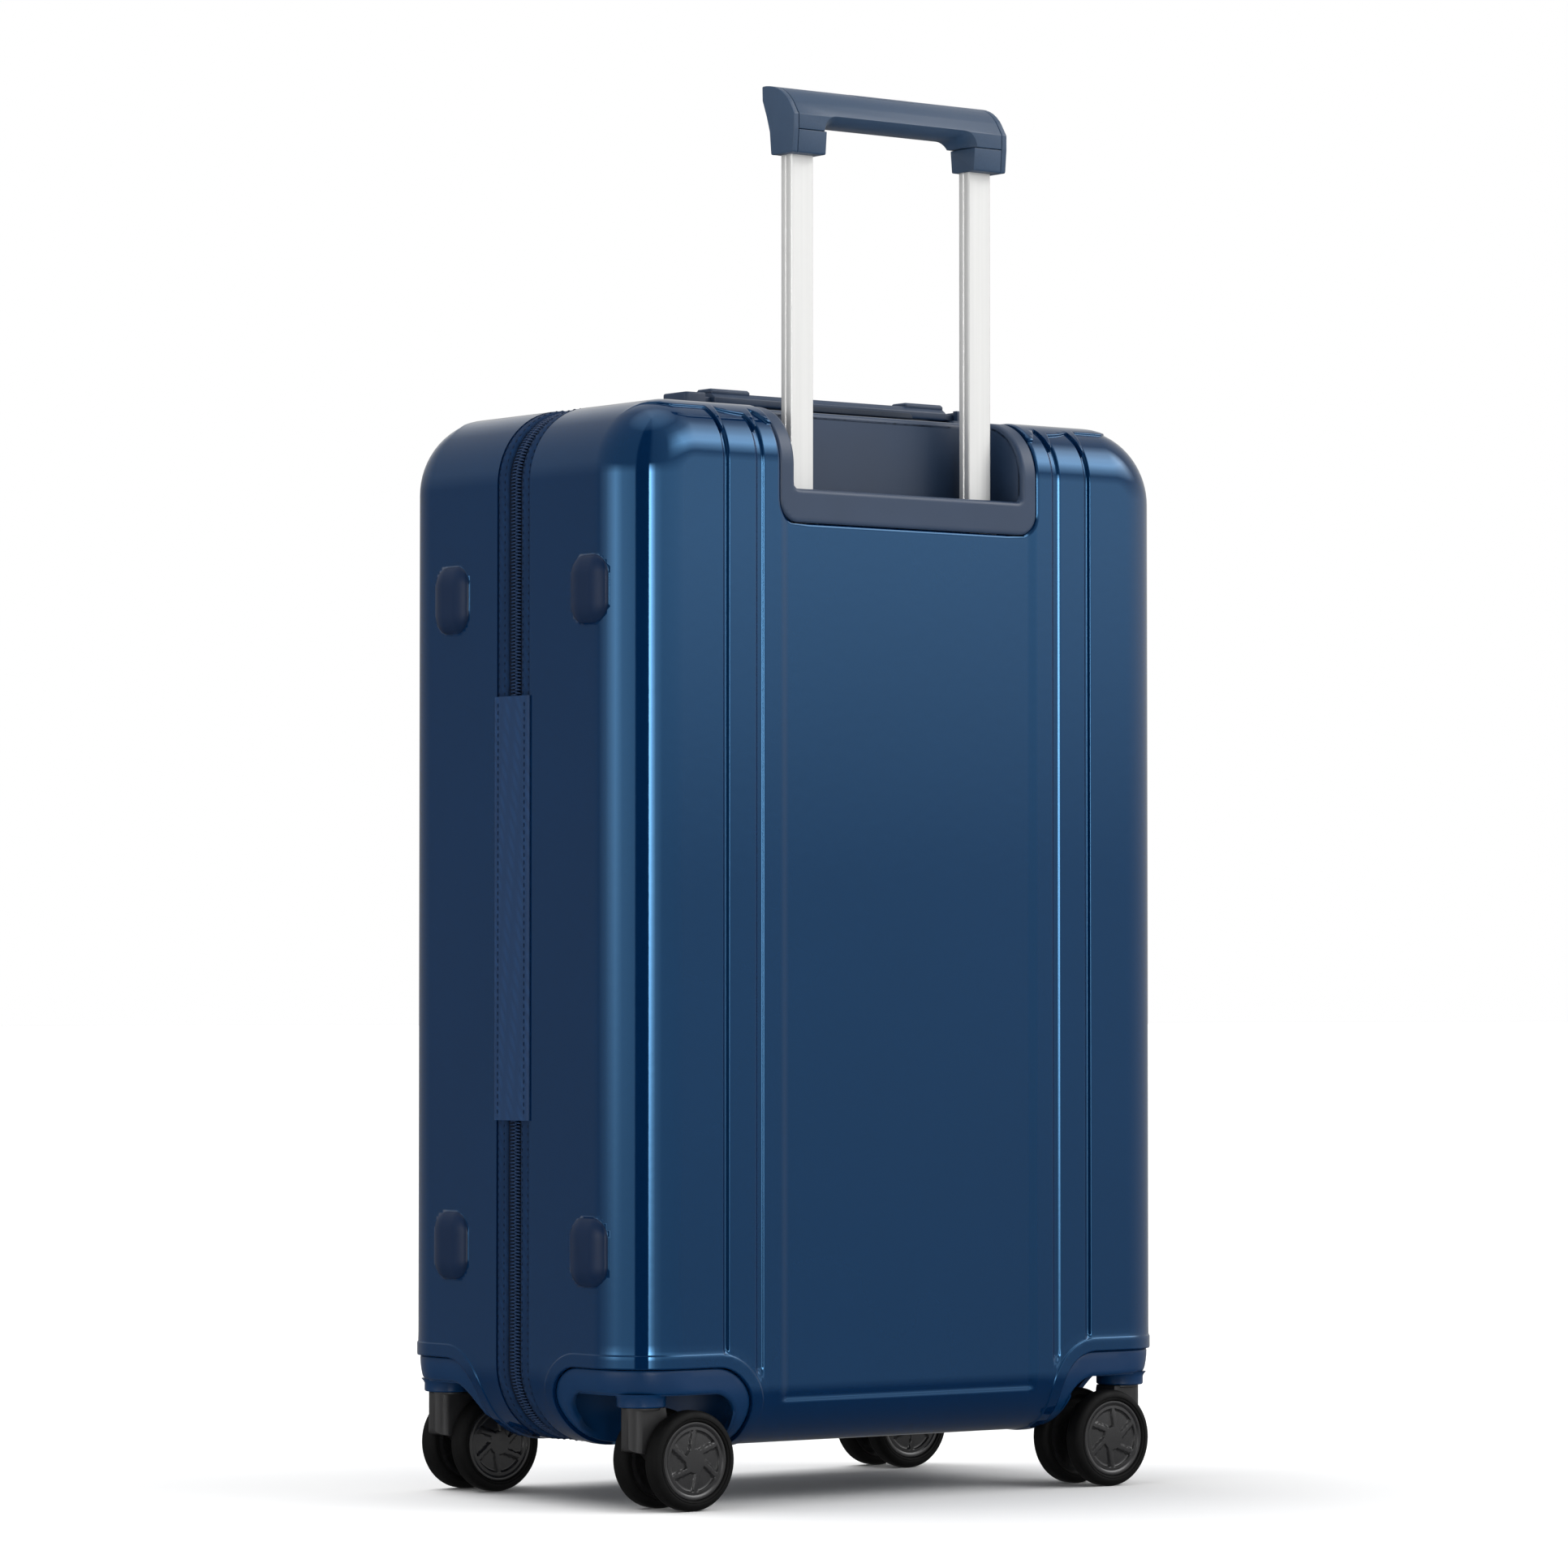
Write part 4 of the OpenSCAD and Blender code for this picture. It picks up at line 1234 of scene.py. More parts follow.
def make_fork(corner, where):
    """Fork: a column with a rounded nose, a web back to the axle, and the collar under the boss."""
    outline = rounded([(12.6, FORK_TOP), (12.6, 36.5), (5, 34.8), (-6, 33.5), (-17, 20.4), (-27, 19.6),
                       (-33.2, 26), (-33.6, 34), (-27, 45), (-13.5, 52), (-11.7, FORK_TOP)],
                      [0.5, 4, 6, 8, 8, 6, 6, 6, 8, 6, 0.5], 5)
    outline = [(SWIVEL_X + x, z) for x, z in outline]
    web = soft_prism("y", outline, SWIVEL_Y - 8.9, SWIVEL_Y + 8.9, 0.4, 3)
    fork = finish_mesh("fork_" + corner + "_moulding", web, "fork", 34)
    nose = [(SWIVEL_X + 3.6 + 9.05 * math.cos(a), SWIVEL_Y + 9.05 * math.sin(a))
            for a in [math.pi * (k / 24 - 0.5) for k in range(25)]]
    plan = nose + [(SWIVEL_X - 60, SWIVEL_Y + 9.05), (SWIVEL_X - 60, SWIVEL_Y - 9.05)]
    carve(fork, soft_prism("z", plan, 0, 80, 0.5, 1), "INTERSECT")
    carve(fork, fork_collar(), "UNION")
    move_mesh(fork, where)
    fork.data.shade_smooth()
    fork.data.set_sharp_from_angle(angle=math.radians(34))
    place(fork, "caster_" + corner, "fork", "fork_" + corner)


def form_depth(points):
    """Signed distance from the plain form, negative inside it."""
    _, _, length = from_core(points)
    depth = np.abs(points[:, 1])
    edge = np.hypot(np.maximum(length - FACE_R, 0), np.maximum(depth - EDGE_Y, 0)) - EDGE_R
    wall = np.where(depth <= EDGE_Y, length - OUTLINE_R, edge)
    return np.where(length <= FACE_R, depth - HALF_D, wall)


def swept_distance(points):
    """Distance outside the room that the twin wheels sweep as the caster turns."""
    x, y, z = points.T
    drop = np.clip(z - WHEEL_R, -WHEEL_R, WHEEL_R)
    front = SWIVEL_X - AXLE_X + np.sqrt(WHEEL_R ** 2 - drop ** 2)
    reach = np.hypot(front, WHEEL_BOX[1][1] - SWIVEL_Y)
    away = np.hypot(x - SWIVEL_X, y - SWIVEL_Y)
    return np.where(z < 2 * WHEEL_R, away - reach - 0.4, 50)


def well_distance(points):
    """Distance outside the opening of a wheel housing's well, negative inside it."""
    opening = corner_distance(points, WELL_BORDER, WELL_TOP, WELL_CORNER)
    return np.minimum(opening, swept_distance(np.abs(points)))


WELL_BORDER = 9.5
WELL_CORNER = 19
HOUSING_SINK = 1.2
HOUSING_ROLL = 3.2
HOUSING_ROLL_DEPTH = 2.1
HOUSING_WALL = 2.2


def housing_offset(points):
    """The housing's face lies just under the shell's, rounded at its border and rolled in at the well."""
    border = 1 - np.clip(-housing_distance(points) / 1.4, 0, 1)
    roll = 1 - np.clip(well_distance(points) / HOUSING_ROLL, 0, 1)
    fall = 1 - np.sqrt(np.maximum(1 - roll ** 2, 0))
    return -HOUSING_SINK - 0.8 * border ** 2 - HOUSING_ROLL_DEPTH * fall


def housing_skin():
    """The visible band of a wheel housing at the rear hinge-side corner, as points and faces."""
    columns = [-CORE_X, 100] + graded(118, CORE_X, 2.6) + [CORE_X]
    rows = [CORE_LOW, 100, CORE_HIGH]
    bm = skin_mesh(1, 30, columns, rows)
    far = [f for f in bm.faces if f.calc_center_median().x < 112 or f.calc_center_median().z > 96]
    bmesh.ops.delete(bm, geom=far, context="FACES")
    cut_hole(bm, lambda p: -(housing_distance(p) + 0.25))
    cut_hole(bm, well_distance)
    for distance in (0.35, 0.9, 1.7, 2.5, HOUSING_ROLL):
        insert_contour(bm, lambda p, d=distance: well_distance(p) - d)
    for distance in (0.7, 1.4):
        insert_contour(bm, lambda p, d=distance: housing_distance(p) + d)
    base = tidy(bm)
    normals = form_normals(base)
    outer = base + normals * housing_offset(base)[:, None]
    inner = base - normals * (HOUSING_SINK + HOUSING_ROLL_DEPTH + HOUSING_WALL)
    return thickened(bm, outer, inner)


def reach_inside(start, direction, most, inset):
    """How far a ray from start goes before it leaves the form drawn in by inset."""
    low, high = 0.0, most
    for _ in range(20):
        middle = (low + high) / 2
        point = np.array([[start[i] + direction[i] * middle for i in range(3)]])
        if form_depth(point)[0] < -inset:
            low = middle
        else:
            high = middle
    return low


WELL_INSET = HOUSING_SINK + HOUSING_ROLL_DEPTH + 0.4
WELL_SEGMENTS = 72


def well_ceiling():
    """The well's ceiling, a plate that reaches out to the inside of the housing's skin."""
    angles = [2 * math.pi * i / WELL_SEGMENTS for i in range(WELL_SEGMENTS)]
    bm = bmesh.new()
    plates = []
    for z in (WELL_TOP, WELL_TOP + 2):
        reach = [reach_inside((SWIVEL_X, SWIVEL_Y, z), (math.cos(a), math.sin(a), 0), WELL_R, WELL_INSET)
                 for a in angles]
        rings = [[bm.verts.new((SWIVEL_X + r * share * math.cos(a), SWIVEL_Y + r * share * math.sin(a), z))
                  for r, a in zip(reach, angles)] for share in (0.2, 0.5, 0.8, 1.0)]
        for first, second in zip(rings, rings[1:]):
            join_rings(bm, first, second)
        bm.faces.new(rings[0])
        plates.append(rings)
    join_rings(bm, plates[0][-1], plates[1][-1])
    bmesh.ops.recalc_face_normals(bm, faces=bm.faces)
    return bm


def well_wall():
    """The well's round wall, where it lies inside the case."""
    thick = 1.6
    wall = bmesh.new()
    lines = []
    for i in range(WELL_SEGMENTS + 1):
        a = math.radians(150 + 150 * i / WELL_SEGMENTS)
        x, y = SWIVEL_X + WELL_R * math.cos(a), SWIVEL_Y + WELL_R * math.sin(a)
        if form_depth(np.array([[x, y, WELL_TOP]]))[0] > -WELL_INSET:
            continue
        foot = WELL_TOP - reach_inside((x, y, WELL_TOP), (0, 0, -1), WELL_TOP, HOUSING_SINK + 0.4)
        out_x = SWIVEL_X + (WELL_R + thick) * math.cos(a)
        out_y = SWIVEL_Y + (WELL_R + thick) * math.sin(a)
        section = [(x, y, WELL_TOP + 1), (x, y, foot), (out_x, out_y, foot), (out_x, out_y, WELL_TOP + 1)]
        lines.append([wall.verts.new(point) for point in section])
    for first, second in zip(lines, lines[1:]):
        join_rings(wall, first, second)
    wall.faces.new(lines[0])
    wall.faces.new(list(reversed(lines[-1])))
    bmesh.ops.recalc_face_normals(wall, faces=wall.faces)
    return wall


def well_boss():
    """The boss under the ceiling, bored for the kingpin."""
    boss = turned([(5.2, WELL_TOP + 1), (5.2, BOSS_LOW + 0.6), (6.0, BOSS_LOW), (BOSS_R - 0.7, BOSS_LOW),
                   (BOSS_R, BOSS_LOW + 0.7), (BOSS_R, WELL_TOP - 2), (BOSS_R + 0.6, WELL_TOP - 0.6),
                   (BOSS_R + 2, WELL_TOP + 1)], 72)
    boss.transform(Matrix.Translation((SWIVEL_X, SWIVEL_Y, 0)))
    return boss


def make_casters():
    """Housings, forks and wheels, all drawn at the rear hinge-side corner and mirrored to the others."""
    for corner, (sx, sy) in CORNERS.items():
        case = "rear_case" if sy > 0 else "front_case"
        where = corner_matrix(sx, sy)
        parts = joined([housing_skin(), well_ceiling(), well_wall(), well_boss()])
        housing = finish_mesh("wheel_housing_" + corner + "_moulding", parts, "housing", 40, where)
        place(housing, case, "wheel_housing", "wheel_housing_" + corner)
        make_fork(corner, where)
        make_wheels(corner, sx, sy)


# ---- handle housing ----

TUBE_BOX = corners("outer_tubes")
TUBE_X = TUBE_BOX[1][0] - 11.25
TUBE_Y = (TUBE_BOX[0][1] + TUBE_BOX[1][1]) / 2
BEZEL_SINK = 0.35
BEZEL_ROLL = 2.8


def recess_plan(points):
    """Distance outside the recess as seen from above, negative inside it."""
    return rect_distance(np.abs(points[:, 0]), points[:, 1], (-400, RECESS_FRONT), (RECESS_HALF, 800), 15)


def recess_distance(points):
    """Distance outside the recess's opening in the case's form, negative inside it."""
    low, high = (-400, RECESS_FLOOR), (RECESS_HALF, 900)
    seen_rear = rect_distance(np.abs(points[:, 0]), points[:, 2], low, high, 3)
    return np.maximum(seen_rear, recess_plan(points))


def inside_form(inset):
    """A level function that is negative outside the form drawn in by inset."""
    return lambda points: -(form_depth(points) + inset)


def grid_mesh(lines):
    """A sheet of faces through rows of points, all with the same count."""
    bm = bmesh.new()
    rows = [[bm.verts.new(point) for point in line] for line in lines]
    for first, second in zip(rows, rows[1:]):
        for i in range(len(first) - 1):
            bm.faces.new((first[i], first[i + 1], second[i + 1], second[i]))
    return bm


def bezel_skin():
    """The frame round the recess, just under the shell's surface, rolled in at the recess."""
    half = graded(0, 76, 8) + graded(76, 104, 2.4) + [112, CORE_X]
    columns = [-x for x in reversed(half[1:])] + half
    rows = [CORE_LOW, 560] + graded(586, CORE_HIGH, 2.4) + [CORE_HIGH]
    bm = skin_mesh(1, 60, columns, rows)
    far = [f for f in bm.faces
           if f.calc_center_median().z < 586 or abs(f.calc_center_median().x) > 108
           or f.calc_center_median().y < RECESS_FRONT - 8]
    bmesh.ops.delete(bm, geom=far, context="FACES")
    cut_hole(bm, lambda p: -(bezel_distance(p) + 0.25))
    cut_hole(bm, recess_distance)
    for distance in (0.35, 0.9, 1.7, BEZEL_ROLL):
        insert_contour(bm, lambda p, d=distance: recess_distance(p) - d)
    for distance in (0.7, 1.4):
        insert_contour(bm, lambda p, d=distance: bezel_distance(p) + d)
    base = tidy(bm)
    normals = form_normals(base)
    roll = 1 - np.clip(recess_distance(base) / BEZEL_ROLL, 0, 1)
    border = 1 - np.clip((-bezel_distance(base) - 0.25) / 1.2, 0, 1)
    sink = BEZEL_SINK + 0.8 * border ** 2 + BEZEL_ROLL * (1 - np.sqrt(np.maximum(1 - roll ** 2, 0)))
    outer = base - normals * sink[:, None]
    inner = base - normals * (BEZEL_SINK + BEZEL_ROLL + 1.2)
    return thickened(bm, outer, inner)


def recess_walls():
    """The recess's two sides and front wall, up to the rolled edge."""
    r, half, front = 15, RECESS_HALF, RECESS_FRONT
    side = [(half, y) for y in graded(front + r, 132, 4) + [132]]
    arc = [(half - r + r * math.cos(a), front + r - r * math.sin(a))
           for a in [math.pi / 2 * k / 10 for k in range(1, 10)]]
    across = [(x, front) for x in reversed(graded(0, half - r, 8) + [half - r])]
    right = list(reversed(side)) + arc + across
    path = right + [(-x, y) for x, y in reversed(right[:-1])]
    levels = graded(RECESS_FLOOR, TOP + 2, 3) + [TOP + 2]
    bm = grid_mesh([[(x, y, z) for x, y in path] for z in levels])
    cut_hole(bm, inside_form(BEZEL_SINK + BEZEL_ROLL))
    base = tidy(bm)
    step = 0.01
    slope = np.zeros_like(base)
    for axis in (0, 1):
        shift = np.zeros(3)
        shift[axis] = step
        slope[:, axis] = (recess_plan(base + shift) - recess_plan(base - shift)) / (2 * step)
    slope /= np.maximum(np.linalg.norm(slope, axis=1), 1e-6)[:, None]
    return thickened(bm, base, base + slope * 2)


def recess_bottom():
    """The recess's floor, with a hole for each tube."""
    columns = graded(-RECESS_HALF, RECESS_HALF, 6) + [RECESS_HALF]
    bm = grid_mesh([[(x, y, RECESS_FLOOR) for x in columns] for y in graded(RECESS_FRONT, 130, 4) + [130]])
    cut_hole(bm, lambda p: -recess_plan(p))
    for side in (-1, 1):
        cut_hole(bm, lambda p, s=side: rect_distance(np.abs(p[:, 0] - s * TUBE_X), np.abs(p[:, 1] - TUBE_Y),
                                                     (-50, -50), (10.4, 6.9), 2))
    cut_hole(bm, inside_form(BEZEL_SINK + BEZEL_ROLL))
    base = tidy(bm)
    return thickened(bm, base, base - np.array([0, 0, 3.0]))


def tube_collar(x):
    """A low rim round a tube where it leaves the floor."""
    outer = rounded(rectangle(x - 13, TUBE_Y - 9.4, x + 13, TUBE_Y + 9.4), 3.5, 4)
    inner = rounded(rectangle(x - 10.4, TUBE_Y - 6.9, x + 10.4, TUBE_Y + 6.9), 2, 4)
    top = RECESS_FLOOR + 1.2
    rings = [[(a, b, RECESS_FLOOR - 1) for a, b in outer], [(a, b, top - 0.4) for a, b in outer],
             [(a, b, top) for a, b in inset_outline(outer, 0.4)], [(a, b, top) for a, b in inner],
             [(a, b, RECESS_FLOOR - 1) for a, b in inner]]
    bm = bmesh.new()
    lines = [[bm.verts.new(p) for p in ring] for ring in rings]
    for first, second in zip(lines, lines[1:] + lines[:1]):
        join_rings(bm, first, second)
    bmesh.ops.recalc_face_normals(bm, faces=bm.faces)
    return bm


def make_handle_housing():
    """The housing of the trolley handle: frame, recess and a rim round each tube."""
    collars = [tube_collar(TUBE_X), tube_collar(-TUBE_X)]
    bucket = joined([bezel_skin(), recess_walls(), recess_bottom()] + collars)
    piece = finish_mesh("handle_housing_moulding", bucket, "trim", 40)
    place(piece, "rear_case", "satin_trim", "handle_housing")


# ---- trolley grip ----

GRIP_BOX = corners("grip_body")
GRIP_HALF = GRIP_BOX[1][0]
GRIP_TOP = GRIP_BOX[1][2]
PARTING = GRIP_BOX[0][2]
COLLAR_LOW = corners("grip_collars")[0][2]
CAP_WIDTH = 4.2
SEAM = 0.35
# the grip's section as distances from the tubes' plane and from the top, first its crown, then the rest
# with None at the parting line
CROWN = [(-16.9, 0.0), (-13.5, 0.05), (-9.5, -0.4), (-5.5, -1.2), (-1.5, -2.6), (2.0, -4.4), (5.4, -6.9),
         (8.4, -9.9), (9.9, -11.9)]
GRIP_BACK = [(14.7, -19.4), (14.7, None), (-9.5, None), (-12.5, -19.1), (-16.6, -8.8)]
# the collar's lower corners, from the tubes' plane
COLLAR_SIDE = [(-8.0, COLLAR_LOW), (13.4, COLLAR_LOW)]
ARCH_HALF = 56.4
ARCH_TOP = 838
BUTTON_HALF = 22
COLLAR_INNER = 58.5


def grip_outline():
    """Cross-section of the grip above its parting line."""
    points = [(TUBE_Y + y, GRIP_TOP + z) for y, z in CROWN]
    points += [(TUBE_Y + y, PARTING if z is None else GRIP_TOP + z) for y, z in GRIP_BACK]
    radii = [0.9] + [0] * (len(CROWN) - 2) + [1.2, 1.6, 0.5, 0.5, 3, 3]
    return rounded(points, radii, 4)


def cap_outline():
    """The end caps follow the grip's section and run on down the legs to the collars' foot."""
    points = [(TUBE_Y + y, GRIP_TOP + z) for y, z in CROWN]
    points += [(TUBE_Y + GRIP_BACK[0][0], GRIP_TOP + GRIP_BACK[0][1])]
    points += [(TUBE_Y + GRIP_BACK[1][0], PARTING)]
    points += [(TUBE_Y + y, z) for y, z in reversed(COLLAR_SIDE)]
    points += [(TUBE_Y + GRIP_BACK[2][0], PARTING)]
    points += [(TUBE_Y + y, GRIP_TOP + z) for y, z in GRIP_BACK[3:]]
    radii = [0.9] + [0] * (len(CROWN) - 2) + [1.2, 1.6, 3, 1.2, 1.2, 3, 3, 3]
    return rounded(points, radii, 4)


def arch_ring(y, half, top, radius):
    """Outline of the hand opening at one depth."""
    outline = rounded(rectangle(-half, top - 60, half, top), radius, 6)
    return [(x, y, z) for x, z in outline]


def crown_height(y):
    """Height of the top of the grip at a depth."""
    return GRIP_TOP + np.interp(y - TUBE_Y, [p[0] for p in CROWN], [p[1] for p in CROWN])


def button_outline(grow, lift, depth):
    """Cross-section of the release button: its top follows the grip's crown."""
    low, high = TUBE_Y - 15.1 - grow, TUBE_Y - 1.4 + grow
    steps = [low + (high - low) * k / 8 for k in range(9)]
    top = [(y, crown_height(y) + lift) for y in steps]
    return top + [(high, GRIP_TOP - depth), (low, GRIP_TOP - depth)]


def make_grip():
    """The moulded grip with its hand opening, its two end caps and its button."""
    inner_half = GRIP_HALF - CAP_WIDTH
    bar = soft_prism("x", grip_outline(), -inner_half, inner_half, 0.3, 2)
    body = finish_mesh("grip_body_moulding", bar, "grip", 28)
    arch = loft_mesh([arch_ring(60, ARCH_HALF, ARCH_TOP, 8),
                      arch_ring(TUBE_Y + 4, ARCH_HALF, ARCH_TOP, 8),
                      arch_ring(TUBE_Y + 11, ARCH_HALF + 1.6, ARCH_TOP + 2.2, 9),
                      arch_ring(TUBE_Y + 17, ARCH_HALF + 5.5, ARCH_TOP + 6.5, 11)])
    carve(body, arch)
    pocket_half = BUTTON_HALF + SEAM
    pocket = soft_prism("x", button_outline(SEAM, 3, 7), -pocket_half, pocket_half, 0.01, 1)
    carve(body, pocket)
    bevel(body, 0.55, 3, 24, 28)
    place(body, "handle_inner", "grip", "grip_body")
    for side in (-1, 1):
        low, high = sorted((side * (inner_half + SEAM), side * GRIP_HALF))
        cap = soft_prism("x", cap_outline(), low, high, 0.45, 3)
        name = "left" if side > 0 else "right"
        place(finish_mesh("grip_end_cap_" + name, cap, "grip", 34), "handle_inner", "grip")
    button = soft_prism("x", button_outline(0, 0.1, 6.4), -BUTTON_HALF, BUTTON_HALF, 0.35, 2)
    stem = soft_box((-4, TUBE_Y - 4.5, GRIP_TOP - 11.4), (4, TUBE_Y - 1.6, GRIP_TOP - 6), 1, 0.2)
    piece = finish_mesh("grip_button_moulding", joined([button, stem]), "grip", 34)
    place(piece, "grip_button", "grip", "grip_button")


def make_collars():
    """The two feet of the grip, round the tubes."""
    points = [(TUBE_Y + y, z) for y, z in COLLAR_SIDE]
    points += [(TUBE_Y + GRIP_BACK[1][0] - 0.1, PARTING - SEAM),
               (TUBE_Y + GRIP_BACK[2][0] + 0.1, PARTING - SEAM)]
    outline = rounded(points, [1.2, 1.2, 0.5, 0.5], 4)
    halves = []
    for side in (-1, 1):
        low, high = sorted((side * COLLAR_INNER, side * (GRIP_HALF - CAP_WIDTH)))
        halves.append(soft_prism("x", outline, low, high, 0.3, 2))
    piece = finish_mesh("grip_collars_moulding", joined(halves), "grip", 34)
    place(piece, "handle_inner", "grip", "grip_collars")


def make_inner_tubes():
    """The two drawn tubes: hollow, with rounded corners and a groove down each narrow side."""
    low, high = corners("inner_tubes")
    half_y = (high[1] - low[1]) / 2
    half_x = high[0] - TUBE_X
    right = [(half_x, -half_y), (half_x, -0.8), (half_x - 0.7, -0.4), (half_x - 0.7, 0.4), (half_x, 0.8),
             (half_x, half_y)]
    section = right + [(-x, -y) for x, y in right]
    tubes = []
    bores = []
    for side in (-1, 1):
        ring = [(side * TUBE_X + x, TUBE_Y + y) for x, y in section]
        outline = rounded(ring, [1.2, 0.1, 0.1, 0.1, 0.1, 1.2] * 2, 3)
        tubes.append(soft_prism("z", outline, low[2], high[2], 0.02, 1))
        hollow = rectangle(side * TUBE_X - half_x + 1.5, TUBE_Y - half_y + 1.5,
                           side * TUBE_X + half_x - 1.5, TUBE_Y + half_y - 1.5)
        bores.append(soft_prism("z", rounded(hollow, 0.6, 3), low[2] - 5, high[2] + 5, 0.1, 1))
    piece = finish_mesh("inner_tubes_extrusion", joined(tubes), "aluminium", 30)
    carve(piece, joined(bores))
    place(piece, "handle_inner", "tube", "inner_tubes")


# ---- carry handles: drawn with their length along X and raised along +Z ----

BAR_HALF = 92
MOUNT_IN = 95
MOUNT_OUT = 115


# hooks of a carry handle's bar, along it and across it, and their clearance in the end blocks
HOOK_IN = 99.3
HOOK_OUT = 106.7
HOOK_HALF = 7.7
HOOK_GAP = 0.3


def end_boxes(near, far, half, low, high, radius, edge):
    """Two equal boxes, from near to far along both ends of a carry handle."""
    spans = [(-far, -near), (near, far)]
    return [soft_box((a, -half, low), (b, half, high), radius, edge) for a, b in spans]


def carry_bar():
    """The bar of a carry handle, with the hooks that slide in its end blocks."""
    section = rounded([(-11, 4.2), (11, 4.2), (11, 9), (7, 12), (-7, 12), (-11, 9)],
                      [1.6, 1.6, 1.2, 1.6, 1.6, 1.2], 3)
    raised = rounded([(-8, 11), (8, 11), (8, 13.2), (6, 14.5), (-6, 14.5), (-8, 13.2)], 0.7, 3)
    parts = [soft_prism("x", section, -BAR_HALF, BAR_HALF, 0.8),
             soft_prism("x", raised, -BAR_HALF, -62, 1.0),
             soft_prism("x", raised, 62, BAR_HALF, 1.0)]
    necks = end_boxes(BAR_HALF - 1, HOOK_OUT, HOOK_HALF, 5, 9, 1.5, 0.5)
    hooks = end_boxes(HOOK_IN, HOOK_OUT, HOOK_HALF, -10, 9, 1.0, 0.5)
    return joined(parts + necks + hooks)


def carry_pad():
    """Softer pad let into both edges of the bar."""
    outline = rounded([(-66, 4.0), (38, 4.0), (34, 7.6), (-62, 7.6)], 0.8, 3)
    return soft_prism("y", outline, -11.35, 11.35, 0.5)


def carry_mounts(name):
    """The two end blocks of a carry handle, slotted for its hooks."""
    blocks = [soft_box((low, -12.5, -12), (low + MOUNT_OUT - MOUNT_IN, 12.5, 11), 3, 1.2)
              for low in (MOUNT_IN, -MOUNT_OUT)]
    piece = finish_mesh(name, joined(blocks), "trim", 34)
    gap = HOOK_GAP
    slots = end_boxes(HOOK_IN - gap, HOOK_OUT + gap, HOOK_HALF + gap, -11, 14, 0.5, 0.1)
    carve(piece, joined(slots))
    steps = end_boxes(90, 100, 14, 4.5, 14, 0.5, 0.15)
    carve(piece, joined(steps))
    return bevel(piece, 0.3, 2, 50, 34)


def make_carry_handles():
    """The top and side carry handles, each a bar with a pad and two end blocks."""
    side_box = corners("side_handle_mounts")
    middle = (side_box[0] + side_box[1]) / 2
    side_at = (side_box[0][0] + 11, middle[1], middle[2])
    places = {"top": Matrix.Translation((0, TOP_MOUNT_Y, TOP)),
              "side": Matrix.Translation(side_at) @ Matrix.Rotation(math.radians(-90), 4, "Y")}
    for which, where in places.items():
        node = which + "_handle"
        bar = finish_mesh(node + "_bar", carry_bar(), "trim", 34, where)
        place(bar, node, "satin_trim", node)
        pad = finish_mesh(node + "_pad", carry_pad(), "pad", 34, where)
        place(pad, node, "satin_trim")
        mounts = carry_mounts(node + "_mounts_blocks")
        move_mesh(mounts, where)
        place(mounts, "rear_case", "satin_trim", node + "_mounts")


# ---- lock, sliders and pulls ----

DIAL_X = -HALF_W + 2.7
DIAL_R = 7.5
PLATE_T = 3.6
DIAL_HEIGHTS = (351, 361, 371)
KEY_HEIGHT = 335
SLIDER_HEIGHTS = {"upper": 405, "lower": 330}


def cylinder_along(axis, centre, radius, length, segments=48):
    """A solid cylinder with its middle at centre, along one axis."""
    half = length / 2
    bm = turned([(0, -half), (radius, -half), (radius, half), (0, half)], segments, close=False)
    turn = {"x": Matrix.Rotation(math.pi / 2, 4, "Y"), "y": Matrix.Rotation(-math.pi / 2, 4, "X"),
            "z": Matrix.Identity(4)}[axis]
    bm.transform(Matrix.Translation(centre) @ turn)
    return bm


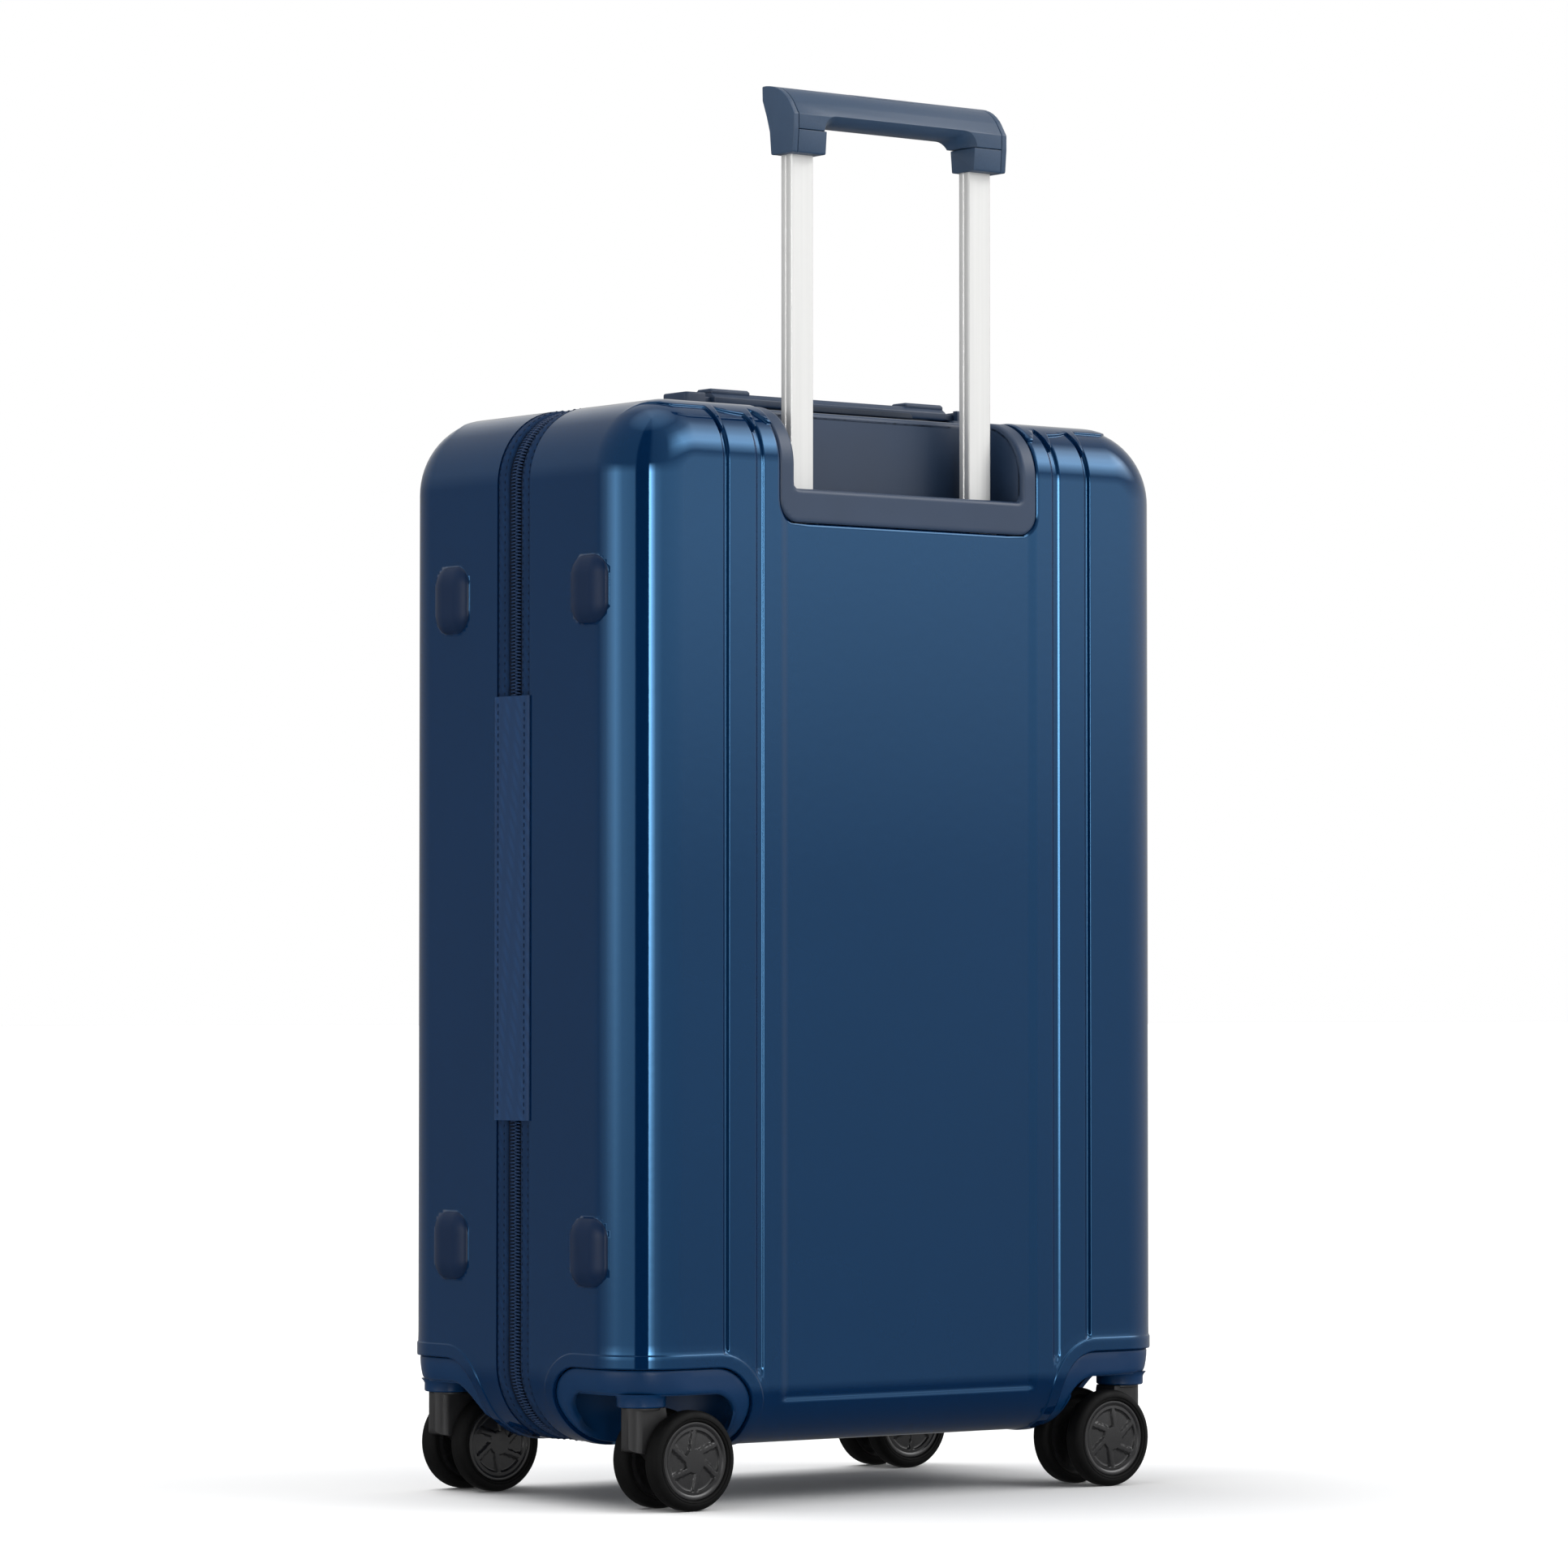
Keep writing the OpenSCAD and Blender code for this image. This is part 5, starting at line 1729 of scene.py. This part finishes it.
def make_lock():
    """The combination lock: case, key barrel, three dials and the button."""
    y, z = LOCK_AT
    half_y, half_z = LOCK_HALF
    inner = rounded(rectangle(y - half_y, z - half_z, y + half_y, z + half_z), 3, 4)
    plate = rounded(rectangle(y - 14, z - 45, y + 14, z + 45), 6, 8)
    case = soft_prism("x", inner, -HALF_W - 0.5, -HALF_W + 11.5, 0.4)
    body = finish_mesh("lock_body_case", case, "lock", 34)
    carve(body, soft_prism("x", plate, -HALF_W - PLATE_T, -HALF_W, 1.1, 5), "UNION")
    slots = [cylinder_along("z", (DIAL_X, y, at), DIAL_R + 0.4, 5.4) for at in DIAL_HEIGHTS]
    carve(body, joined(slots))
    carve(body, soft_box((-HALF_W - 6, y - 4.3, 381), (-HALF_W - 1, y + 4.3, 399), 0.6, 0.1, "x"))
    carve(body, cylinder_along("x", (-HALF_W - PLATE_T, y, KEY_HEIGHT), 4.6, 1.2))
    place(body, "front_case", "lock_case", "lock_body")
    barrel = turned([(0, 0.2), (1.0, 0.2), (1.0, 0.9), (3.9, 0.9), (4.2, 0.6), (4.2, 0), (0, 0)], 48,
                    close=False)
    turn = Matrix.Rotation(-math.pi / 2, 4, "Y")
    where = Matrix.Translation((-HALF_W - PLATE_T + 0.6, y, KEY_HEIGHT)) @ turn
    key = finish_mesh("lock_key_barrel", barrel, "zip_metal", 34, where)
    place(key, "front_case", "lock_case")
    for index, at in enumerate(DIAL_HEIGHTS, 1):
        place(finish_mesh(f"lock_dial_{index}_ring", dial_mesh(y, at), "dial", 34),
              f"lock_dial_{index}", "lock_dial", f"lock_dial_{index}")
    button = soft_box((-HALF_W - 4.6, y - 4, 385.5), (-HALF_W - 1.1, y + 4, 398.5), 1.2, 0.7, "x")
    ridges = [soft_box((-HALF_W - 5.0, y - 3, at), (-HALF_W - 4.2, y + 3, at + 1), 0.3, 0.25, "x")
              for at in (389.4, 391.4, 393.4)]
    place(finish_mesh("lock_button_cap", joined([button] + ridges), "zip_metal", 34),
          "lock_button", "lock_case", "lock_button")


def dial_mesh(y, z):
    """A number wheel with ten finger notches."""
    outline = []
    for i in range(120):
        a = 2 * math.pi * i / 120
        notch = max(0.0, math.cos(10 * (a - math.radians(18)))) ** 6
        radius = DIAL_R - 0.5 * notch
        outline.append((DIAL_X + radius * math.cos(a), y + radius * math.sin(a)))
    return soft_prism("z", outline, z - 2.5, z + 2.5, 0.5)


def make_slider(name, z):
    """Zip slider astride the coil, with its bridge, and the pull that hangs from it."""
    x = -HALF_W
    y = ZIP_Y
    wings = rounded([(y - 5.5, z - 7), (y + 5.5, z - 7), (y + 5.5, z + 1), (y + 3.4, z + 7),
                     (y - 3.4, z + 7), (y - 5.5, z + 1)], [1.5, 1.5, 2, 2, 2, 2], 4)
    parts = [soft_prism("x", wings, x - 0.9, x + 1.45, 0.6, 3),
             soft_prism("x", wings, x + 4.75, x + 6.2, 0.4, 2),
             soft_box((x, y - 0.5, z - 6), (x + 5, y + 0.5, z + 6), 0.3, 0.1)]
    bridge = rounded([(x - 0.5, z - 3.5), (x - 0.5, z + 3.5), (x - 4.1, z + 2.6), (x - 4.1, z - 2.6)],
                     1.0, 4)
    parts.append(soft_prism("y", bridge, y - 1.5, y + 1.5, 0.4, 2))
    slider = finish_mesh("slider_" + name + "_body", joined(parts), "zip_metal", 34)
    place(slider, "slider_" + name, "zip_metal", "slider_" + name)
    pin_x = x - 2.4
    cheeks = [soft_box((pin_x - 1.6, at - 0.85, z - 8.5), (pin_x + 1.6, at + 0.85, z + 1.6), 1.2, 0.4, "y")
              for at in (y - 2.7, y + 2.7)]
    tongue = rounded(rectangle(y - 4.5, z - 36, y + 4.5, z - 6), 2.6, 6)
    plate = soft_prism("x", tongue, pin_x - 1.2, pin_x + 1.2, 0.6, 3)
    ribs = [soft_box((pin_x - 1.6, y - 3.2, at), (pin_x - 0.9, y + 3.2, at + 1.2), 0.4, 0.3, "x")
            for at in range(z - 32, z - 17, 3)]
    parts = cheeks + [plate, cylinder_along("y", (pin_x, y, z), 1.0, 7)] + ribs
    pull = finish_mesh("pull_" + name + "_tab", joined(parts), "zip_metal", 34)
    place(pull, "pull_" + name, "zip_metal", "pull_" + name)


# ---- inside ----

LINING_GAP = 16
LINING_T = 1.3
LINING_R = OUTLINE_R - LINING_GAP
NOTCH_X = 118
NOTCH_Z = 90
# depth of the back panel, by side
LINING_BACK = {1: 74, -1: -111.5}


def lining_level(points):
    """Distance outside the lining's outline, which steps round the wheel housings."""
    x, z = np.abs(points[:, 0]), points[:, 2]
    low, high = (-400, BOTTOM + LINING_GAP), (HALF_W - LINING_GAP, TOP - LINING_GAP)
    outline = rect_distance(x, z, low, high, LINING_R)
    notch = rect_distance(x, z, (NOTCH_X, -400), (900, NOTCH_Z), 6)
    return np.maximum(outline, -notch)


def creases(points):
    """Gentle waves of loose cloth, in millimetres."""
    x, y, z = points.T
    slack = np.sin(x / 31 + z / 57) * np.sin(z / 43 - x / 71) + 0.5 * np.sin(x / 17 - z / 29 + 1.3)
    return 0.8 * slack + 0.35 * np.sin(y / 9 + (x + z) / 38)


def lining_mesh(side):
    """A cloth tray: a back panel with its border turned up to the case's edge."""
    open_y, back_y = ZIP_Y + 4 * side, LINING_BACK[side]
    corner = 7
    reach_x, reach_low, reach_high = HALF_W - 10, BOTTOM + 8, TOP - 8
    columns = graded(-reach_x, reach_x, 7) + [reach_x]
    bm = grid_mesh([[(x, 0, z) for x in columns] for z in graded(reach_low, reach_high, 7) + [reach_high]])
    cut_hole(bm, lambda p: -(lining_level(p) + 0.01))
    for distance in (0.5, 1.6, 3.2, 5.2, corner):
        insert_contour(bm, lambda p, d=distance: lining_level(p) + d)
    base = tidy(bm, 0.2)
    depth = np.clip(-lining_level(base), 0, corner)
    sag = corner - np.sqrt(np.maximum(corner ** 2 - (corner - depth) ** 2, 0))
    fade_in = np.clip((-lining_level(base) - corner) / 25, 0, 1)
    for vertex, drop, loose in zip(bm.verts, sag, creases(base) * fade_in):
        vertex.co.y = back_y - side * (drop + 0.4 + 0.8 * (1 + loose) * 0.6)
    height = abs(open_y - back_y) - corner - 1
    steps = max(3, round(height / 9))
    edges = [e for e in bm.edges if e.is_boundary]
    for k in range(1, steps + 1):
        grown = bmesh.ops.extrude_edge_only(bm, edges=edges)["geom"]
        edges = [g for g in grown if isinstance(g, bmesh.types.BMEdge) and g.is_boundary]
        for vertex in [g for g in grown if isinstance(g, bmesh.types.BMVert)]:
            vertex.co.y -= side * height / steps
            x, _, z = vertex.co
            wave = 0.25 * math.sin(x / 13 + z / 17 + k) * math.sin(math.pi * k / steps)
            vertex.co.x -= math.copysign(wave, x)
    bmesh.ops.recalc_face_normals(bm, faces=bm.faces)
    return bm


def solid_sheet(name, bm, material, thickness, offset=-1):
    """A sheet of cloth with a thickness in millimetres."""
    piece = finish_mesh(name, bm, material, 50)
    change = piece.modifiers.new("thickness", "SOLIDIFY")
    change.thickness = thickness * MM
    change.offset = offset
    return apply_modifiers(piece)


def make_lining(half, side):
    """The lining of one half, as a stretched sheet."""
    node = half + "_lining"
    piece = solid_sheet(node + "_cloth", lining_mesh(side), "lining", LINING_T, 0)
    piece.data.shade_smooth()
    place(piece, half + "_case", "lining", node)


STRAP_ANGLE = 38
STRAP_W = 25
STRAP_FROM = 28
BUCKLE_BOX = corners("strap_buckle")
STRAP_Y = (BUCKLE_BOX[0][1] + BUCKLE_BOX[1][1]) / 2
STRAP_LENGTH = (HALF_W - LINING_GAP - LINING_T - 0.8 - 8) / math.cos(math.radians(STRAP_ANGLE))


def strap_mesh():
    """Four arms of webbing from the buckle to the lining's sides, each a little slack."""
    bm = bmesh.new()
    for sign_x in (-1, 1):
        for sign_z in (-1, 1):
            angle = math.radians(STRAP_ANGLE)
            along = Vector((sign_x * math.cos(angle), sign_z * math.sin(angle)))
            beside = Vector((-along.y, along.x))
            rows = []
            for i in range(41):
                t = STRAP_FROM + (STRAP_LENGTH - STRAP_FROM) * i / 40
                sag = 2.2 * math.sin(math.pi * i / 40)
                row = []
                for j in range(9):
                    across = (j / 4 - 1) * STRAP_W / 2
                    curl = 0.5 * (abs(across) / (STRAP_W / 2)) ** 4
                    place_at = along * t + beside * across
                    row.append(bm.verts.new((place_at.x, STRAP_Y + sag - curl, MID_Z + place_at.y)))
                rows.append(row)
            for first, second in zip(rows, rows[1:]):
                for j in range(8):
                    bm.faces.new((first[j], first[j + 1], second[j + 1], second[j]))
    return bm


def make_straps():
    """The crossed packing straps and the buckle over their crossing."""
    straps = solid_sheet("packing_straps_webbing", strap_mesh(), "webbing", 1.4, 0)
    place(straps, "rear_case", "webbing", "packing_straps")
    half_x, half_z, half_t = 32, 25, (BUCKLE_BOX[1][1] - BUCKLE_BOX[0][1]) / 2
    base = rounded(rectangle(-half_x, MID_Z - half_z, half_x, MID_Z + half_z), 8, 8)
    top = rounded(rectangle(-18, MID_Z - 17, 18, MID_Z + 17), 5, 6)
    parts = [soft_prism("y", base, STRAP_Y - half_t + 0.8, STRAP_Y + half_t - 0.8, 1.4, 5),
             soft_prism("y", top, STRAP_Y - half_t, STRAP_Y + half_t, 0.8, 4)]
    for side in (-1, 1):
        for k in range(3):
            x = side * (22 + 2.6 * k)
            low = (x - 0.6, STRAP_Y - half_t + 0.2, MID_Z - 10)
            parts.append(soft_box(low, (x + 0.6, STRAP_Y, MID_Z + 10), 0.4, 0.3))
    buckle = finish_mesh("strap_buckle_moulding", joined(parts), "bracket", 34)
    place(buckle, "rear_case", "bracket", "strap_buckle")


# ---- stage, camera and lights ----

CAMERA_PLACE = (2.4654, 3.1582, 0.3035)
CAMERA_YAW = 37.95
CAMERA_PITCH = 1.94
CAMERA_LENS = 146.8


def make_camera():
    """The camera at the place that was fitted to the view of the case."""
    data = bpy.data.cameras.new("camera")
    data.lens = CAMERA_LENS
    data.sensor_width = 36
    camera = bpy.data.objects.new("camera", data)
    camera.location = CAMERA_PLACE
    camera.rotation_euler = (math.radians(90 + CAMERA_PITCH), 0, math.radians(180 - CAMERA_YAW))
    bpy.context.scene.collection.objects.link(camera)
    bpy.context.scene.camera = camera


# brightness of the studio by azimuth, in degrees from +X towards +Y, at three sines of elevation
STUDIO_LOW = [(-180, 0.5), (-110, 0.30), (-60, 0.27), (-40, 0.28), (-24, 0.60), (-3, 1.3), (11, 1.1),
              (34.5, 1.0), (35.5, 0.03), (59.5, 0.03), (60.3, 5.0), (66, 2.3), (72, 1.1), (84, 0.70),
              (128, 0.58),
              (180, 0.5)]
STUDIO_MIDDLE = [(-180, 0.6), (-110, 0.30), (-60, 0.27), (-40, 0.30), (-24, 0.95), (-3, 3.1), (11, 1.7),
                 (34.5, 1.3), (35.5, 0.03), (59.5, 0.03), (60.3, 16), (66, 6.5), (72, 1.8), (84, 0.9),
                 (128, 0.75), (180, 0.6)]
STUDIO_HIGH = [(-180, 0.8), (-110, 0.30), (-60, 0.26), (-40, 0.30), (-24, 1.1), (-3, 4.0), (11, 2.0),
               (34.5, 1.5), (35.5, 0.03), (59.5, 0.03), (60.3, 22), (66, 8.5), (72, 2.4), (84, 1.5),
               (128, 1.6), (180, 0.8)]
BAND_HEIGHTS = (-0.05, 0.02, 0.075)
# above the bands: a plain sky by azimuth, a softbox behind the camera's right, and a glow overhead
STUDIO_SKY = [(-180, 0.55), (-115, 0.80), (-95, 0.50), (-30, 0.45), (33, 0.45), (37, 0.05), (58, 0.05),
              (66, 0.40), (100, 0.60), (180, 0.55)]
SOFTBOX_HEIGHTS = [(-1, 0), (0.28, 0), (0.42, 2.4), (0.53, 5.0), (0.63, 4.4), (0.72, 2.4), (0.8, 0.6),
                   (0.9, 0.0), (1, 0.0)]
SOFTBOX_ROUND = [(-180, 0), (92, 0), (118, 1), (158, 1), (176, 0), (180, 0)]
ZENITH = [(-1, 0), (0.90, 0), (0.97, 0.7), (1, 0.9)]
SKY_FROM = 0.10
SKY_TO = 0.30
GROUND = 0.12
GROUND_FROM = -0.30
GROUND_TO = -0.08


def brightness_ramp(tree, value, low, high, stops):
    """Maps a value from low to high through a ramp of brightnesses, scaled to fit the ramp's range."""
    most = max(level for _, level in stops)
    spread = tree.nodes.new("ShaderNodeMapRange")
    spread.inputs["From Min"].default_value = low
    spread.inputs["From Max"].default_value = high
    tree.links.new(value, spread.inputs["Value"])
    colours = ramp(tree, spread.outputs["Result"],
                   [((at - low) / (high - low), grey(level / most)) for at, level in stops])
    return math_node(tree, "MULTIPLY", colours, most)


def math_node(tree, operation, first, second):
    """One arithmetic step of a node tree, on sockets or constants."""
    node = tree.nodes.new("ShaderNodeMath")
    node.operation = operation
    for socket, value in zip(node.inputs, (first, second)):
        if isinstance(value, (int, float)):
            socket.default_value = value
        else:
            tree.links.new(value, socket)
    return node.outputs[0]


def fade(tree, first, second, place, low, high):
    """A value that goes from first to second as place goes from low to high."""
    spread = tree.nodes.new("ShaderNodeMapRange")
    spread.inputs["From Min"].default_value = low
    spread.inputs["From Max"].default_value = high
    tree.links.new(place, spread.inputs["Value"])
    share = spread.outputs["Result"]
    kept = math_node(tree, "MULTIPLY", first, math_node(tree, "SUBTRACT", 1.0, share))
    return math_node(tree, "ADD", kept, math_node(tree, "MULTIPLY", second, share))


def make_world():
    """A plain white studio: white to the camera, with soft bands of light round and over the object."""
    world = bpy.data.worlds.new("studio")
    bpy.context.scene.world = world
    world.use_nodes = True
    tree = world.node_tree
    nodes, links = tree.nodes, tree.links
    coordinates = nodes.new("ShaderNodeTexCoord")
    split = nodes.new("ShaderNodeSeparateXYZ")
    links.new(coordinates.outputs["Generated"], split.inputs[0])
    azimuth = math_node(tree, "ARCTAN2", split.outputs["Y"], split.outputs["X"])
    degrees = math_node(tree, "MULTIPLY", azimuth, 180 / math.pi)
    height = split.outputs["Z"]
    low, middle, high = [brightness_ramp(tree, degrees, -180, 180, stops)
                         for stops in (STUDIO_LOW, STUDIO_MIDDLE, STUDIO_HIGH)]
    bands = fade(tree, low, middle, height, BAND_HEIGHTS[0], BAND_HEIGHTS[1])
    bands = fade(tree, bands, high, height, BAND_HEIGHTS[1], BAND_HEIGHTS[2])
    sky = brightness_ramp(tree, degrees, -180, 180, STUDIO_SKY)
    softbox = math_node(tree, "MULTIPLY", brightness_ramp(tree, height, -1, 1, SOFTBOX_HEIGHTS),
                        brightness_ramp(tree, degrees, -180, 180, SOFTBOX_ROUND))
    light = fade(tree, bands, sky, height, SKY_FROM, SKY_TO)
    light = math_node(tree, "ADD", light, softbox)
    light = math_node(tree, "ADD", light, brightness_ramp(tree, height, -1, 1, ZENITH))
    light = fade(tree, GROUND, light, height, GROUND_FROM, GROUND_TO)
    lit = nodes.new("ShaderNodeBackground")
    links.new(light, lit.inputs["Color"])
    seen = nodes.new("ShaderNodeBackground")
    seen.inputs["Color"].default_value = (1, 1, 1, 1)
    path = nodes.new("ShaderNodeLightPath")
    choose = nodes.new("ShaderNodeMixShader")
    links.new(path.outputs["Is Camera Ray"], choose.inputs["Fac"])
    links.new(lit.outputs[0], choose.inputs[1])
    links.new(seen.outputs[0], choose.inputs[2])
    links.new(choose.outputs[0], nodes["World Output"].inputs["Surface"])


KEY_AZIMUTH = -50
KEY_ELEVATION = 62
KEY_SOFTNESS = 50
KEY_STRENGTH = 1.9


def make_key():
    """A broad soft key from the left that lights matt surfaces and leaves the gloss to the studio."""
    data = bpy.data.lights.new("key", "SUN")
    data.energy = KEY_STRENGTH
    data.angle = math.radians(KEY_SOFTNESS)
    key = bpy.data.objects.new("key", data)
    key.visible_glossy = False
    key.rotation_euler = (0, math.radians(90 - KEY_ELEVATION), math.radians(KEY_AZIMUTH))
    bpy.context.scene.collection.objects.link(key)


def make_floor():
    """A pale matt floor that the gloss doesn't mirror."""
    material, shader = principled("floor_paint", Roughness=0.9, Specular_IOR_Level=0.1)
    tree = material.node_tree
    colours = ramp(tree, noise(tree, 3.0), [(0.3, grey(0.90)), (0.7, grey(0.91))])
    tree.links.new(colours, shader.inputs["Base Color"])
    mesh = bpy.data.meshes.new("floor")
    mesh.from_pydata([(-60, -60, 0), (60, -60, 0), (60, 60, 0), (-60, 60, 0)], [], [(0, 1, 2, 3)])
    mesh.materials.append(material)
    floor = bpy.data.objects.new("floor", mesh)
    floor.visible_glossy = False
    bpy.context.scene.collection.objects.link(floor)


make_camera()
make_world()
make_key()
make_floor()
bpy.context.scene.view_settings.view_transform = "Standard"

for node, material in NODE_MATERIALS.items():
    dress(node, material)
make_shell("rear_shell", 1, "rear_case")
make_shell("front_shell", -1, "front_case")

for side, half in ((1, "rear"), (-1, "front")):
    make_zip(half + "_zip_tape", side, half + "_case")
make_hinge()
make_casters()

for half, side in (("rear", 1), ("front", -1)):
    make_lining(half, side)
make_straps()
make_handle_housing()
make_grip()
make_collars()
make_inner_tubes()
make_carry_handles()
make_lock()
for name, z in SLIDER_HEIGHTS.items():
    make_slider(name, z)
